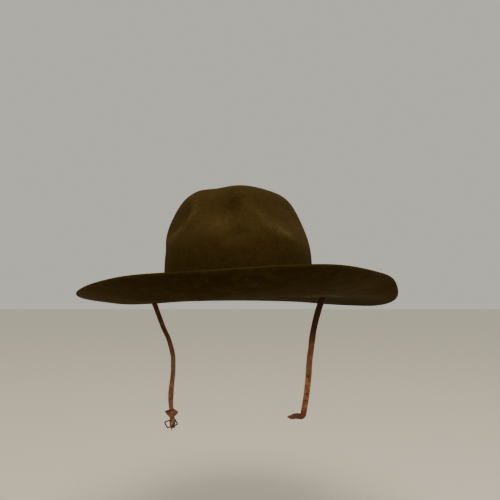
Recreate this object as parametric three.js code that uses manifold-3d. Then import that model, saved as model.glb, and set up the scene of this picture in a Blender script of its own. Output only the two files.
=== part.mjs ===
// Campaign hat: a blocked fur felt body with a torn leather sweatband and a two ended leather chin strap.
// Millimetres. The origin is the centre of the head opening, +Z goes up through the crown, the front is -Y.
// Turns are degrees round the hat from the front, positive towards +X, the wearer's left.
import * as THREE from "three";
import Module from "manifold-3d";

// Head opening and crown
const head_length = 200;
const head_width = 166;
const crown_height = 131;
const felt_wall = 2.4;
const break_radius = 6;

// Brim, measured outwards from the crown's wall
const brim_side = 94;
const brim_end = 92;

// Sweatband
const sweatband_wall = 1.2;
const sweatband_height = 42;
const sweatband_hem = 0.9;
const tear_depth = 3.2;

// Chin strap, its slots in the brim and its two free ends
const strap_width = 7.5;
const strap_wall = 1.8;
const slot_back = 15;
const slot_clearance = 0.6;
const buckle_end_drop = 151.3;
const pointed_end_drop = 141;
const pointed_end_run = 20;

// Keeper and buckle at the strap's left end
const keeper_height = 7.5;
const keeper_wall = 1;
const keeper_flare = 7.6;
const buckle_wide = 14.5;
const buckle_tall = 11.5;
const wire = 1.5;
const prong_wire = 1.1;
const prong_length = 11;
const prong_eye_wall = 0.9;

// Gap between pieces that touch on the real hat
const fit_gap = 0.3;

// Numbers of facets
const felt_sides = 64;
const crown_rings = 15;
const break_rings = 4;
const brim_rings = 8;
const band_sides = 128;
const wire_sides = 8;
const keeper_sides = 20;
const eye_sides = 16;
const wrap_steps = 18;
const wall_steps = 400;

// How far apart two steps on the felt are when its slope is taken, and the step nearest the peak that has a
// slope
const slope_nudge = 0.004;
const slope_start = 0.02;

const up = new THREE.Vector3(0, 0, 1);
const degrees = THREE.MathUtils.degToRad;
const vector = (x, y, z) => new THREE.Vector3(x, y, z);
const mix = THREE.MathUtils.lerp;

// Middle of the felt at the crown's base
const felt_half_width = head_width / 2 + sweatband_wall + fit_gap + felt_wall / 2;
const felt_half_length = head_length / 2 + sweatband_wall + fit_gap + felt_wall / 2;
const break_top = felt_wall / 2 + break_radius;
const brim_mean = (brim_side + brim_end) / 2;

// The crown's section before it is dented. out is a share of the base's half width and half length, rise is a
// share of the height above the break.
const crown_section = [
  { out: 0, rise: 1 },
  { out: 0.14, rise: 0.98 },
  { out: 0.3, rise: 0.96 },
  { out: 0.47, rise: 0.936 },
  { out: 0.6, rise: 0.905 },
  { out: 0.71, rise: 0.85 },
  { out: 0.8, rise: 0.765 },
  { out: 0.88, rise: 0.655 },
  { out: 0.94, rise: 0.53 },
  { out: 0.975, rise: 0.4 },
  { out: 0.995, rise: 0.25 },
  { out: 1, rise: 0 },
];

// Dents pressed into the crown. place runs from 0 at the peak to 1 at the break, across and along are how far
// a dent reaches as shares of the half width, lean turns it in the surface, depth is a share of the half
// width. Where depth is below zero the felt swells outwards.
const crown_dents = [
  { turn: 46, place: 0.574, across: 0.575, along: 0.354, lean: 0, depth: 0.12 },
  { turn: -78, place: 0.562, across: 0.309, along: 0.4, lean: 4, depth: -0.021 },
  { turn: -17, place: 0.549, across: 0.529, along: 0.227, lean: 65.5, depth: 0.124 },
  { turn: -91.5, place: 0.709, across: 0.521, along: 0.238, lean: 27.5, depth: -0.027 },
  { turn: -7, place: 0.734, across: 0.27, along: 0.14, lean: -34.5, depth: -0.03 },
  { turn: -41, place: 0.646, across: 0.519, along: 0.255, lean: -14, depth: 0.058 },
  { turn: -38, place: 0.195, across: 0.266, along: 0.334, lean: -11, depth: -0.009 },
  { turn: 142, place: 0.5, across: 0.4, along: 0.36, lean: 15, depth: 0.08 },
  { turn: -142, place: 0.5, across: 0.4, along: 0.36, lean: -15, depth: 0.08 },
];

// How squarely a dent's side falls, the height of the point its dents press towards as a share of the
// crown's, and the places between which dents and ridges fade into the plain wall
const dent_edge = 2.6;
const dent_aim = 0.4;
const dents_fade = 0.77;
const dents_end = 0.865;

// Ridges that stand between the dents, each from one turn and place to another. reach is how far a ridge
// spreads to each side and height how far it stands proud, both as shares of the half width.
const crown_ridges = [
  { turn: -61, place: 0.296, to_turn: -39, to_place: 0.684, reach: 0.098, height: 0.014 },
  { turn: -42, place: 0.699, to_turn: -61.5, to_place: 0.831, reach: 0.11, height: 0.008 },
  { turn: 15.5, place: 0.624, to_turn: 43.5, to_place: 0.808, reach: 0.102, height: 0.0135 },
  { turn: 24.5, place: 0.083, to_turn: 47, to_place: 0.42, reach: 0.123, height: -0.004 },
];

// The brim round the hat. rise is its edge's height and belly how far it hangs between crown and edge, both
// as shares of the brim's mean width.
const brim_turns = [
  { turn: 0, rise: 0.226, belly: 0.056 },
  { turn: 15, rise: 0.260, belly: 0.031 },
  { turn: 30, rise: 0.274, belly: 0.021 },
  { turn: 45, rise: 0.235, belly: 0.014 },
  { turn: 60, rise: 0.176, belly: 0.007 },
  { turn: 75, rise: 0.024, belly: -0.002 },
  { turn: 90, rise: -0.070, belly: -0.016 },
  { turn: 105, rise: -0.122, belly: -0.015 },
  { turn: 120, rise: -0.129, belly: -0.004 },
  { turn: 135, rise: -0.117, belly: 0.007 },
  { turn: 150, rise: -0.086, belly: 0.010 },
  { turn: 165, rise: -0.071, belly: 0.010 },
  { turn: 180, rise: -0.065, belly: 0.010 },
  { turn: 195, rise: -0.068, belly: 0.010 },
  { turn: 210, rise: -0.080, belly: 0.010 },
  { turn: 225, rise: -0.108, belly: 0.010 },
  { turn: 240, rise: -0.113, belly: 0.019 },
  { turn: 255, rise: -0.073, belly: 0.035 },
  { turn: 270, rise: -0.032, belly: 0.053 },
  { turn: 285, rise: 0.012, belly: 0.072 },
  { turn: 300, rise: 0.060, belly: 0.087 },
  { turn: 315, rise: 0.123, belly: 0.094 },
  { turn: 330, rise: 0.176, belly: 0.088 },
  { turn: 345, rise: 0.198, belly: 0.076 },
];
const brim_curl = 1.7;

// How far the brim's cut edge stands proud in its middle, as a share of the felt's wall
const edge_proud = 0.33;

// Tongues of torn leather along the sweatband's front edge. half is half a tongue's width in degrees, drop is
// a share of the tear's depth.
const tears = [
  { turn: -24, half: 3, drop: 0.45 },
  { turn: -11, half: 4, drop: 1 },
  { turn: -2, half: 2.5, drop: 0.45 },
  { turn: 9, half: 3.5, drop: 0.6 },
  { turn: 14, half: 2, drop: 0.4 },
  { turn: 23, half: 2, drop: 0.5 },
  { turn: 32, half: 3.5, drop: 0.65 },
];

// The strap from the brim down, on each side. fall and drift are shares of that end's drop, drift goes in
// towards the head, face is the direction of the strap's width in degrees from +X, wide is a share of the
// strap's width.
const buckle_end = [
  { fall: 0.05, drift: 0.02, face: 53, wide: 1 },
  { fall: 0.15, drift: 0.06, face: 57, wide: 1 },
  { fall: 0.25, drift: 0.1, face: 60, wide: 1 },
  { fall: 0.33, drift: 0.139, face: 61, wide: 1 },
  { fall: 0.4, drift: 0.161, face: 61, wide: 1 },
  { fall: 0.47, drift: 0.177, face: 61, wide: 1 },
  { fall: 0.54, drift: 0.18, face: 60, wide: 1 },
  { fall: 0.62, drift: 0.178, face: 59, wide: 1 },
  { fall: 0.69, drift: 0.17, face: 57, wide: 1 },
  { fall: 0.76, drift: 0.165, face: 50, wide: 1 },
  { fall: 0.83, drift: 0.165, face: 42, wide: 0.8 },
  { fall: 0.885, drift: 0.171, face: 30, wide: 0.66 },
];
const pointed_end = [
  { fall: 0.055, drift: 0.024, face: 156, wide: 1 },
  { fall: 0.13, drift: 0.049, face: 157, wide: 1 },
  { fall: 0.21, drift: 0.071, face: 158, wide: 1 },
  { fall: 0.29, drift: 0.089, face: 158, wide: 0.98 },
  { fall: 0.37, drift: 0.102, face: 159, wide: 0.97 },
  { fall: 0.44, drift: 0.111, face: 159, wide: 0.96 },
  { fall: 0.52, drift: 0.123, face: 159, wide: 0.95 },
  { fall: 0.6, drift: 0.13, face: 159, wide: 0.95 },
  { fall: 0.68, drift: 0.136, face: 159, wide: 0.94 },
  { fall: 0.765, drift: 0.146, face: 158, wide: 0.94 },
  { fall: 0.845, drift: 0.157, face: 158, wide: 0.94 },
  { fall: 0.925, drift: 0.171, face: 158, wide: 0.94 },
  { fall: 0.975, drift: 0.18, face: 158, wide: 0.92 },
];

// The kinked end past its elbow. run is a share of the run sideways, sag a share of the strap's width.
const kinked_end = [
  { run: 0.22, sag: 0.56, wide: 0.88 },
  { run: 0.45, sag: 0.62, wide: 0.82 },
  { run: 0.7, sag: 0.8, wide: 0.66 },
  { run: 0.9, sag: 0.8, wide: 0.36 },
  { run: 1, sag: 0.78, wide: 0.12 },
];

// The strap round the crown: how far round it lies against the wall on each side in degrees, how far from the
// felt, and how far its lower edge lies below the break's top
const wrap_end = 76;
const wrap_gap = 0.5;
const wrap_sink = 0.6;

// From the wrap to its slot the strap tips over: shares of the way, how fast the tip takes place, and how far
// from the slot its bend points, in widths of the strap. Then its last stations before and in the slot, out
// and height as shares of the strap's wall.
const tip_shares = [0.25, 0.5, 0.7, 0.86];
const tip_bend = 1.7;
const tip_end = 0.9;
const tip_pull = 2;
const slot_stations = [
  { out: -1.1, height: 0.62 },
  { out: -0.35, height: 0.15 },
  { out: 0, height: -1 },
  { out: 0, height: -2.4 },
];

// Both layers of the strap's fold from the keeper to the bar: rise and wide are shares of the strap's width,
// out is how far a layer has spread to the fold's radius. Then the width round the bar, how far the fold has
// slid along the bar from the strap's own line, how far the tail goes up, and how far up and how deep the
// prong's slot goes, in widths of the strap and in radii of the fold.
const fold_layers = [
  { rise: 1.56, out: 0, wide: 0.6 },
  { rise: 0.7, out: 0.4, wide: 0.84 },
];
const fold_wide = 0.6;
const fold_slide = 0.2;
const tail_share = 0.6;
const prong_slot_rise = 0.62;
const prong_slot_depth = 4;

// Stations further apart than this, in widths of the strap, get one section more
const long_span = 1.6;

// Keeper: its half width at the neck as a share of the strap's width, how boxy it is, and how far its ear
// away from the head and its ear towards the head drop, as shares of its height
const keeper_neck = 0.34;
const keeper_boxy = 0.4;
const keeper_outer_ear = 0.05;
const keeper_inner_ear = 0.7;
const ear_bend = 1.5;

// Corners of the wire frame and the strap's elbow, as shares of the wire and of the strap's width
const frame_corner = 1.2;
const elbow_share = 0.56;
const elbow_wide = 0.9;

// Slots, one on each side: how far each lies out from the crown's wall, and the direction of its length
const slots = [
  { side: -1, out: 20, face: 128, end: buckle_end, drop: buckle_end_drop },
  { side: 1, out: 17, face: 156, end: pointed_end, drop: pointed_end_drop },
];

// Buckle at the strap's fold: directions of its bar, its side arms and its prong
const bar_turn = 26.6;
const bar_tilt = 10;
const frame_fold = 61;
const prong_fold = 132;

// The prong's stem from its eye to its tip: reach is a share of its length, half a share of its wire
const prong_stem_rows = [
  { reach: 0.14, half: 0.48 },
  { reach: 0.8, half: 0.45 },
  { reach: 1, half: 0.25 },
];

// Builds one closed body from rings of points. Rings are joined in order, and the ends are fans, or the last
// ring is joined to the first. A body that comes out inside out is turned.
function closedBody(rings, ends = "fans") {
  const sides = rings[0].length;
  const points = rings.flat();
  const faces = [];
  const spans = ends === "joined" ? rings.length : rings.length - 1;
  for (let ring = 0; ring < spans; ring += 1) {
    const here = ring * sides;
    const next = ((ring + 1) % rings.length) * sides;
    for (let side = 0; side < sides; side += 1) {
      const along = (side + 1) % sides;
      faces.push([here + side, here + along, next + along]);
      faces.push([here + side, next + along, next + side]);
    }
  }
  if (ends === "fans") {
    const last = (rings.length - 1) * sides;
    const first_centre = points.push(middle(rings[0])) - 1;
    const last_centre = points.push(middle(rings[rings.length - 1])) - 1;
    for (let side = 0; side < sides; side += 1) {
      const along = (side + 1) % sides;
      faces.push([first_centre, along, side]);
      faces.push([last_centre, last + side, last + along]);
    }
  }
  const volume = faces.reduce((sum, [a, b, c]) => sum + points[a].dot(points[b].clone().cross(points[c])), 0);
  const outwards = volume > 0 ? faces : faces.map(([a, b, c]) => [a, c, b]);
  return geometryFrom(points.flatMap((point) => point.toArray()), outwards.flat());
}

function middle(ring) {
  return ring.reduce((sum, point) => sum.add(point), vector(0, 0, 0)).divideScalar(ring.length);
}

function geometryFrom(positions, faces) {
  const geometry = new THREE.BufferGeometry();
  geometry.setAttribute("position", new THREE.Float32BufferAttribute(positions, 3));
  geometry.setIndex([...faces]);
  geometry.computeVertexNormals();
  return geometry;
}

// Cutting and joining
const wasm = await Module();
wasm.setup();

function bodyOf(geometry) {
  const vertProperties = Float32Array.from(geometry.getAttribute("position").array);
  const triVerts = Uint32Array.from(geometry.getIndex().array);
  return new wasm.Manifold(new wasm.Mesh({ numProp: 3, vertProperties, triVerts }));
}

function geometryOf(body) {
  const mesh = body.getMesh();
  return geometryFrom(mesh.vertProperties, mesh.triVerts);
}

// The corners of a flat section, in halves of its width and its depth
const square_corners = [
  [-1, -1],
  [1, -1],
  [1, 1],
  [-1, 1],
];

// A straight block between two points, wide along one direction and thick along the other
function block(from, to, wide, thick, width, depth) {
  const corner = (centre, a, b) =>
    centre.clone().addScaledVector(wide, (a * width) / 2).addScaledVector(thick, (b * depth) / 2);
  const ring = (centre) => square_corners.map(([a, b]) => corner(centre, a, b));
  return closedBody([ring(from), ring(to)]);
}

// Crown and brim: the middle of the felt as a function of the turn and of a step that goes from 0 at the
// peak, by 1 at the break's top and 2 at its foot, to 3 at the brim's edge
const section_points = crown_section.map((row) => new THREE.Vector2(row.out, row.rise));
const section_curve = new THREE.SplineCurve(section_points);

function domePoint(turn, place) {
  const section = section_curve.getPoint(place);
  return vector(
    felt_half_width * section.x * Math.sin(turn),
    -felt_half_length * section.x * Math.cos(turn),
    break_top + (crown_height - break_top) * section.y,
  );
}

// Each dent pushes the dome in towards the crown's middle, by a bell shaped amount in its own across, along
// and inward directions
const dome_middle = vector(0, 0, crown_height * dent_aim);
const dents = crown_dents.map((row) => {
  const turn = degrees(row.turn);
  const centre = domePoint(turn, row.place);
  const inward = dome_middle.clone().sub(centre).normalize();
  const across = vector(Math.cos(turn), Math.sin(turn), 0);
  across.addScaledVector(inward, -across.dot(inward)).normalize();
  const along = inward.clone().cross(across);
  across.applyAxisAngle(inward, degrees(row.lean));
  along.applyAxisAngle(inward, degrees(row.lean));
  return { row, centre, inward, across, along };
});

function dentDepth(point, dent) {
  const offset = point.clone().sub(dent.centre);
  const across = offset.dot(dent.across) / (dent.row.across * felt_half_width);
  const along = offset.dot(dent.along) / (dent.row.along * felt_half_width);
  const inward = offset.dot(dent.inward) / felt_half_width;
  const spread = Math.hypot(across, along, inward);
  return dent.row.depth * felt_half_width * Math.exp(-Math.pow(spread, dent_edge));
}

const ridges = crown_ridges.map((row) => ({
  row,
  line: new THREE.Line3(
    domePoint(degrees(row.turn), row.place),
    domePoint(degrees(row.to_turn), row.to_place),
  ),
}));

// A ridge lies along the dome over its straight line, and fades past the line's ends
function ridgeHeight(point, ridge) {
  const nearest = ridge.line.closestPointToPoint(point, true, vector(0, 0, 0));
  const outwards = nearest.clone().sub(dome_middle).normalize();
  const offset = point.clone().sub(nearest);
  const beside = Math.sqrt(Math.max(offset.lengthSq() - offset.dot(outwards) ** 2, 0));
  const near = offset.dot(outwards) / felt_half_width;
  const share = beside / (ridge.row.reach * felt_half_width);
  return ridge.row.height * felt_half_width * Math.exp(-share * share - near * near);
}

function crownPoint(turn, place) {
  const plain = domePoint(turn, place);
  const dented = plain.clone();
  const outwards = plain.clone().sub(dome_middle).normalize();
  dents.forEach((dent) => dented.addScaledVector(dent.inward, dentDepth(plain, dent)));
  ridges.forEach((ridge) => dented.addScaledVector(outwards, ridgeHeight(plain, ridge)));
  return dented.lerp(plain, THREE.MathUtils.smoothstep(place, dents_fade, dents_end));
}

// A smooth value from a table of evenly spaced turns
function roundTable(table, column, turn) {
  const spacing = 360 / table.length;
  const where = THREE.MathUtils.euclideanModulo(THREE.MathUtils.radToDeg(turn), 360) / spacing;
  const first = Math.floor(where);
  const share = where - first;
  const value = (step) => table[THREE.MathUtils.euclideanModulo(first + step, table.length)][column];
  const bend = (a, b, c, d) =>
    b + 0.5 * share * (c - a + share * (2 * a - 5 * b + 4 * c - d + share * (3 * (b - c) + d - a)));
  return bend(value(-1), value(0), value(1), value(2));
}

function wallPoint(turn, out) {
  const wall = vector(felt_half_width * Math.sin(turn), -felt_half_length * Math.cos(turn), 0);
  const away = vector(Math.sin(turn) / felt_half_width, -Math.cos(turn) / felt_half_length, 0).normalize();
  return wall.addScaledVector(away, out);
}

function brimPoint(turn, share) {
  const start = wallPoint(turn, break_radius);
  const edge = vector(
    (felt_half_width + brim_side) * Math.sin(turn),
    -(felt_half_length + brim_end) * Math.cos(turn),
    0,
  );
  const rise = roundTable(brim_turns, "rise", turn) * Math.pow(share, brim_curl);
  const belly = roundTable(brim_turns, "belly", turn) * Math.sin(Math.PI * share);
  const point = start.lerp(edge, share);
  point.z = felt_wall / 2 + brim_mean * (rise - belly);
  return point;
}

function feltPoint(turn, step) {
  if (step <= 1) {
    return crownPoint(turn, step);
  }
  if (step >= 2) {
    return brimPoint(turn, step - 2);
  }
  const angle = ((step - 1) * Math.PI) / 2;
  const point = wallPoint(turn, break_radius * (1 - Math.cos(angle)));
  point.z = break_top - break_radius * Math.sin(angle);
  return point;
}

// The felt's outward direction, square to its two slopes
function feltNormal(turn, step) {
  const off_peak = Math.max(step, slope_start);
  const after = Math.min(off_peak + slope_nudge, 3);
  const down = feltPoint(turn, after).sub(feltPoint(turn, off_peak - slope_nudge));
  const round = feltPoint(turn + slope_nudge, off_peak).sub(feltPoint(turn - slope_nudge, off_peak));
  return down.cross(round).normalize();
}

const felt_steps = [];
for (let ring = 1; ring <= crown_rings; ring += 1) {
  felt_steps.push(ring / crown_rings);
}
for (let ring = 1; ring <= break_rings; ring += 1) {
  felt_steps.push(1 + ring / break_rings);
}
for (let ring = 1; ring <= brim_rings; ring += 1) {
  felt_steps.push(2 + ring / brim_rings);
}
const felt_turns = Array.from({ length: felt_sides }, (_, side) => (side * 2 * Math.PI) / felt_sides);

function feltRing(step, height) {
  return felt_turns.map((turn) => feltPoint(turn, step).addScaledVector(feltNormal(turn, step), height));
}

// The cut edge stands a little proud of the last ring, so that it is rounded
function feltEdge() {
  return felt_turns.map((turn) => {
    const edge = feltPoint(turn, 3);
    const outwards = edge.clone().sub(feltPoint(turn, 3 - slope_start)).normalize();
    return edge.addScaledVector(outwards, felt_wall * edge_proud);
  });
}

const felt_rings = [
  ...felt_steps.map((step) => feltRing(step, felt_wall / 2)),
  feltEdge(),
  ...[...felt_steps].reverse().map((step) => feltRing(step, -felt_wall / 2)),
];

// Slot places and the strap's directions through them
function slotPlace(slot) {
  return vector(slot.side * (felt_half_width + slot.out), slot_back, 0);
}

function facing(angle, side) {
  return vector(side * Math.cos(degrees(angle)), Math.sin(degrees(angle)), 0);
}

function brimMiddleAt(place) {
  const turn = Math.atan2(place.x / felt_half_width, -place.y / felt_half_length);
  const start = brimPoint(turn, 0);
  const edge = brimPoint(turn, 1);
  const span = Math.hypot(edge.x - start.x, edge.y - start.y);
  const share = Math.hypot(place.x - start.x, place.y - start.y) / span;
  return brimPoint(turn, share).z;
}

let felt_body = bodyOf(closedBody(felt_rings));
slots.forEach((slot) => {
  const place = slotPlace(slot);
  const wide = facing(slot.face, slot.side);
  const thick = up.clone().cross(wide);
  const low = place.clone().addScaledVector(up, -brim_mean);
  const high = place.clone().addScaledVector(up, brim_mean);
  const width = strap_width + 2 * slot_clearance;
  const depth = strap_wall + 2 * slot_clearance;
  felt_body = felt_body.subtract(bodyOf(block(low, high, wide, thick, width, depth)));
});

// Sweatband: follows the crown's wall, with a plain hem and a torn front edge
function wallShareAt(height) {
  const rise = Math.max((height - break_top) / (crown_height - break_top), 0);
  for (let step = wall_steps; step > 0; step -= 1) {
    const section = section_curve.getPoint(step / wall_steps);
    if (section.y >= rise) {
      return section.x;
    }
  }
  return 1;
}

function bandPoint(turn, height, depth) {
  const share = wallShareAt(height);
  const inset = felt_wall / 2 + fit_gap + depth;
  return vector(
    (felt_half_width * share - inset) * Math.sin(turn),
    -(felt_half_length * share - inset) * Math.cos(turn),
    height,
  );
}

function bandHem(turn) {
  const angle = THREE.MathUtils.radToDeg(Math.atan2(Math.sin(turn), Math.cos(turn)));
  const hang = tears.reduce((deepest, tear) => {
    const off = Math.abs(angle - tear.turn) / tear.half;
    return Math.max(deepest, tear.drop * Math.max(1 - off, 0));
  }, 0);
  return -sweatband_hem - (tear_depth - sweatband_hem) * hang;
}

const band_middle = sweatband_height / 2;
const band_turns = Array.from({ length: band_sides }, (_, side) => (side * 2 * Math.PI) / band_sides);
const band_levels = [
  { height: () => sweatband_height, depth: 0 },
  { height: () => band_middle, depth: 0 },
  { height: () => break_top, depth: 0 },
  { height: bandHem, depth: 0 },
  { height: bandHem, depth: sweatband_wall },
  { height: () => break_top, depth: sweatband_wall },
  { height: () => band_middle, depth: sweatband_wall },
  { height: () => sweatband_height, depth: sweatband_wall },
];
const band_rings = band_levels.map((level) =>
  band_turns.map((turn) => bandPoint(turn, level.height(turn), level.depth)),
);

// Buckle directions at the strap's fold: the bar, up the strap, and out of the strap's front
const bar = vector(
  Math.cos(degrees(bar_turn)) * Math.cos(degrees(bar_tilt)),
  Math.sin(degrees(bar_turn)) * Math.cos(degrees(bar_tilt)),
  Math.sin(degrees(bar_tilt)),
);
const rising = up.clone().addScaledVector(bar, -up.dot(bar)).normalize();
const fore = bar.clone().cross(rising);
const fold_radius = wire / 2 + fit_gap + strap_wall / 2;
const layer_gap = strap_wall / 2 + fit_gap / 2;
const keeper_foot = strap_width * fold_layers[0].rise;
const keeper_head = keeper_foot + keeper_height;
const fold_shift = strap_width * fold_slide;
const last_hang = buckle_end[buckle_end.length - 1];
const fold_centre = slotPlace(slots[0])
  .add(vector(last_hang.drift * buckle_end_drop, 0, -last_hang.fall * buckle_end_drop))
  .addScaledVector(rising, -keeper_head)
  .addScaledVector(fore, -layer_gap)
  .addScaledVector(bar, -fold_shift);

// A point of the fold, forward of the bar and up from it. Up to the keeper the strap leans back to its own
// line.
function atFold(forward, rise) {
  const leant = THREE.MathUtils.clamp(rise / keeper_foot, 0, 1) * fold_shift;
  return fold_centre
    .clone()
    .addScaledVector(fore, forward)
    .addScaledVector(rising, rise)
    .addScaledVector(bar, leant);
}

// Chin strap: stations along its middle, each with the direction of its width and its width there
function hangingStations(slot) {
  const place = slotPlace(slot);
  return slot.end.map((row) => ({
    at: vector(place.x - slot.side * row.drift * slot.drop, place.y, -row.fall * slot.drop),
    wide: facing(row.face, 1),
    width: row.wide * strap_width,
  }));
}

const wrap_shares = Array.from({ length: wrap_steps + 1 }, (_, step) => (2 * step) / wrap_steps - 1);
const wrap_turns = wrap_shares.map((share) => wrap_end * share);
const wrap_out = felt_wall / 2 + wrap_gap + strap_wall / 2;
const wrap_height = break_top - wrap_sink + strap_width / 2;
function wrapStation(turn) {
  const share = wallShareAt(wrap_height);
  return {
    at: wallPoint(degrees(turn), wrap_out - felt_half_width * (1 - share)).setZ(wrap_height),
    wide: up.clone(),
    width: strap_width,
  };
}

// From the crown's side the strap tips over onto the brim, bends a little proud of it and goes down its slot
function slotStations(slot) {
  const place = slotPlace(slot);
  const wide = facing(slot.face, slot.side);
  const away = vector(slot.side * wide.y, Math.abs(wide.x), 0);
  const lie = brimMiddleAt(place) + felt_wall / 2 + fit_gap + strap_wall / 2;
  const leave = wrapStation(slot.side * wrap_end).at;
  const pull = place.clone().addScaledVector(away, -strap_width * tip_pull);
  const curve = new THREE.QuadraticBezierCurve(leave, pull, place);
  const hump = lie + strap_wall * slot_stations[0].height;
  const tipping = tip_shares.map((share) => {
    const at = curve.getPoint(share);
    const heading = curve.getTangent(share);
    const lean = degrees(90 * Math.pow(1 - share, tip_bend));
    return {
      at: vector(at.x, at.y, mix(wrap_height, hump, THREE.MathUtils.smoothstep(share, 0, tip_end))),
      wide: vector(-slot.side * heading.y, slot.side * heading.x, 0)
        .normalize()
        .multiplyScalar(Math.cos(lean))
        .addScaledVector(up, Math.sin(lean)),
      width: strap_width,
    };
  });
  const through = slot_stations.map((row) => ({
    at: place.clone().addScaledVector(away, row.out * strap_wall).setZ(lie + row.height * strap_wall),
    wide: wide.clone(),
    width: strap_width,
  }));
  return [...tipping, ...through];
}

// The pointed end turns sideways at a kink, in the plane of the strap
function kinkStations() {
  const slot = slots[1];
  const last = pointed_end[pointed_end.length - 1];
  const elbow = hangingStations(slot)[pointed_end.length - 1].at;
  const sideways = facing(last.face, 1);
  const radius = strap_width * elbow_share;
  const bend = [30, 60, 90].map((angle) => ({
    at: elbow
      .clone()
      .addScaledVector(sideways, radius * (1 - Math.cos(degrees(angle))))
      .addScaledVector(up, -radius * Math.sin(degrees(angle))),
    wide: sideways
      .clone()
      .multiplyScalar(Math.cos(degrees(angle)))
      .addScaledVector(up, Math.sin(degrees(angle))),
    width: strap_width * elbow_wide,
  }));
  const run = kinked_end.map((row) => ({
    at: elbow
      .clone()
      .addScaledVector(sideways, radius + row.run * (pointed_end_run - radius))
      .addScaledVector(up, -row.sag * strap_width),
    wide: up.clone(),
    width: row.wide * strap_width,
  }));
  return [...bend, ...run];
}

// The fold round the buckle's bar: down the front layer, round the bar and up behind to the keeper
function foldStations() {
  const station = (forward, rise, wide) => ({
    at: atFold(forward, rise),
    wide: bar.clone(),
    width: wide * strap_width,
  });
  const layer = (side) =>
    fold_layers.map((row) =>
      station(side * mix(layer_gap, fold_radius, row.out), row.rise * strap_width, row.wide),
    );
  const round = [0, 30, 60, 90, 120, 150, 180].map((angle) =>
    station(fold_radius * Math.cos(degrees(angle)), -fold_radius * Math.sin(degrees(angle)), fold_wide),
  );
  const tail = station(-layer_gap, keeper_foot + keeper_height * tail_share, fold_layers[0].wide);
  return [...layer(1), ...round, ...layer(-1).reverse(), tail];
}

// Runs a smooth line through the stations, with more sections where they lie close together
function strapRings(stations) {
  const line = new THREE.CatmullRomCurve3(
    stations.map((station) => station.at),
    false,
    "centripetal",
  );
  const spans = stations.length - 1;
  const rings = [];
  for (let span = 0; span < spans; span += 1) {
    const length = stations[span].at.distanceTo(stations[span + 1].at);
    const cuts = length > strap_width * long_span ? 3 : 2;
    for (let cut = 0; cut < cuts + (span === spans - 1 ? 1 : 0); cut += 1) {
      const share = cut / cuts;
      const place = (span + share) / spans;
      const tangent = line.getTangent(place);
      const wide = stations[span].wide.clone().lerp(stations[span + 1].wide, share);
      wide.addScaledVector(tangent, -wide.dot(tangent)).normalize();
      const thick = tangent.clone().cross(wide);
      const width = mix(stations[span].width, stations[span + 1].width, share);
      const centre = line.getPoint(place);
      const corner = ([a, b]) =>
        centre.clone().addScaledVector(wide, (a * width) / 2).addScaledVector(thick, (b * strap_wall) / 2);
      rings.push(square_corners.map(corner));
    }
  }
  return rings;
}

const strap_stations = [
  ...foldStations().reverse(),
  ...hangingStations(slots[0]).reverse(),
  ...slotStations(slots[0]).reverse(),
  ...wrap_turns.map(wrapStation),
  ...slotStations(slots[1]),
  ...hangingStations(slots[1]),
  ...kinkStations(),
];
const prong_slot_width = prong_wire + 2 * fit_gap;
const prong_slot = bodyOf(
  block(
    fold_centre.clone().addScaledVector(rising, -fold_radius - strap_wall),
    fold_centre.clone().addScaledVector(rising, strap_width * prong_slot_rise),
    bar,
    fore,
    prong_slot_width,
    prong_slot_depth * fold_radius,
  ),
);
const chin_strap = bodyOf(closedBody(strapRings(strap_stations))).subtract(prong_slot);

// Keeper: a flared sleeve round both layers of the strap
const keeper_half_depth = layer_gap + strap_wall / 2 + fit_gap + keeper_wall;
const keeper_foot_half = strap_width * keeper_neck + fit_gap + keeper_wall;
const keeper_levels = [
  { share: 0, flare: 0 },
  { share: 0.5, flare: 0.6 },
  { share: 1, flare: 1 },
];
function keeperRing(level, depth) {
  const half_width = mix(keeper_foot_half, keeper_flare, level.flare) - depth;
  const half_depth = keeper_half_depth - depth;
  const soft = (value) => Math.sign(value) * Math.pow(Math.abs(value), keeper_boxy);
  return Array.from({ length: keeper_sides }, (_, side) => {
    const angle = (side * 2 * Math.PI) / keeper_sides;
    const ear = Math.cos(angle) > 0 ? keeper_inner_ear : keeper_outer_ear;
    const drop = ear * Math.pow(Math.abs(Math.cos(angle)), ear_bend);
    const rise = keeper_foot + keeper_height * level.share * (1 - drop);
    const sideways = fold_shift + half_width * soft(Math.cos(angle));
    return fold_centre
      .clone()
      .addScaledVector(fore, half_depth * soft(Math.sin(angle)))
      .addScaledVector(rising, rise)
      .addScaledVector(bar, sideways);
  });
}
const keeper_rings = [
  ...keeper_levels.map((level) => keeperRing(level, 0)),
  ...[...keeper_levels].reverse().map((level) => keeperRing(level, keeper_wall)),
];

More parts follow.
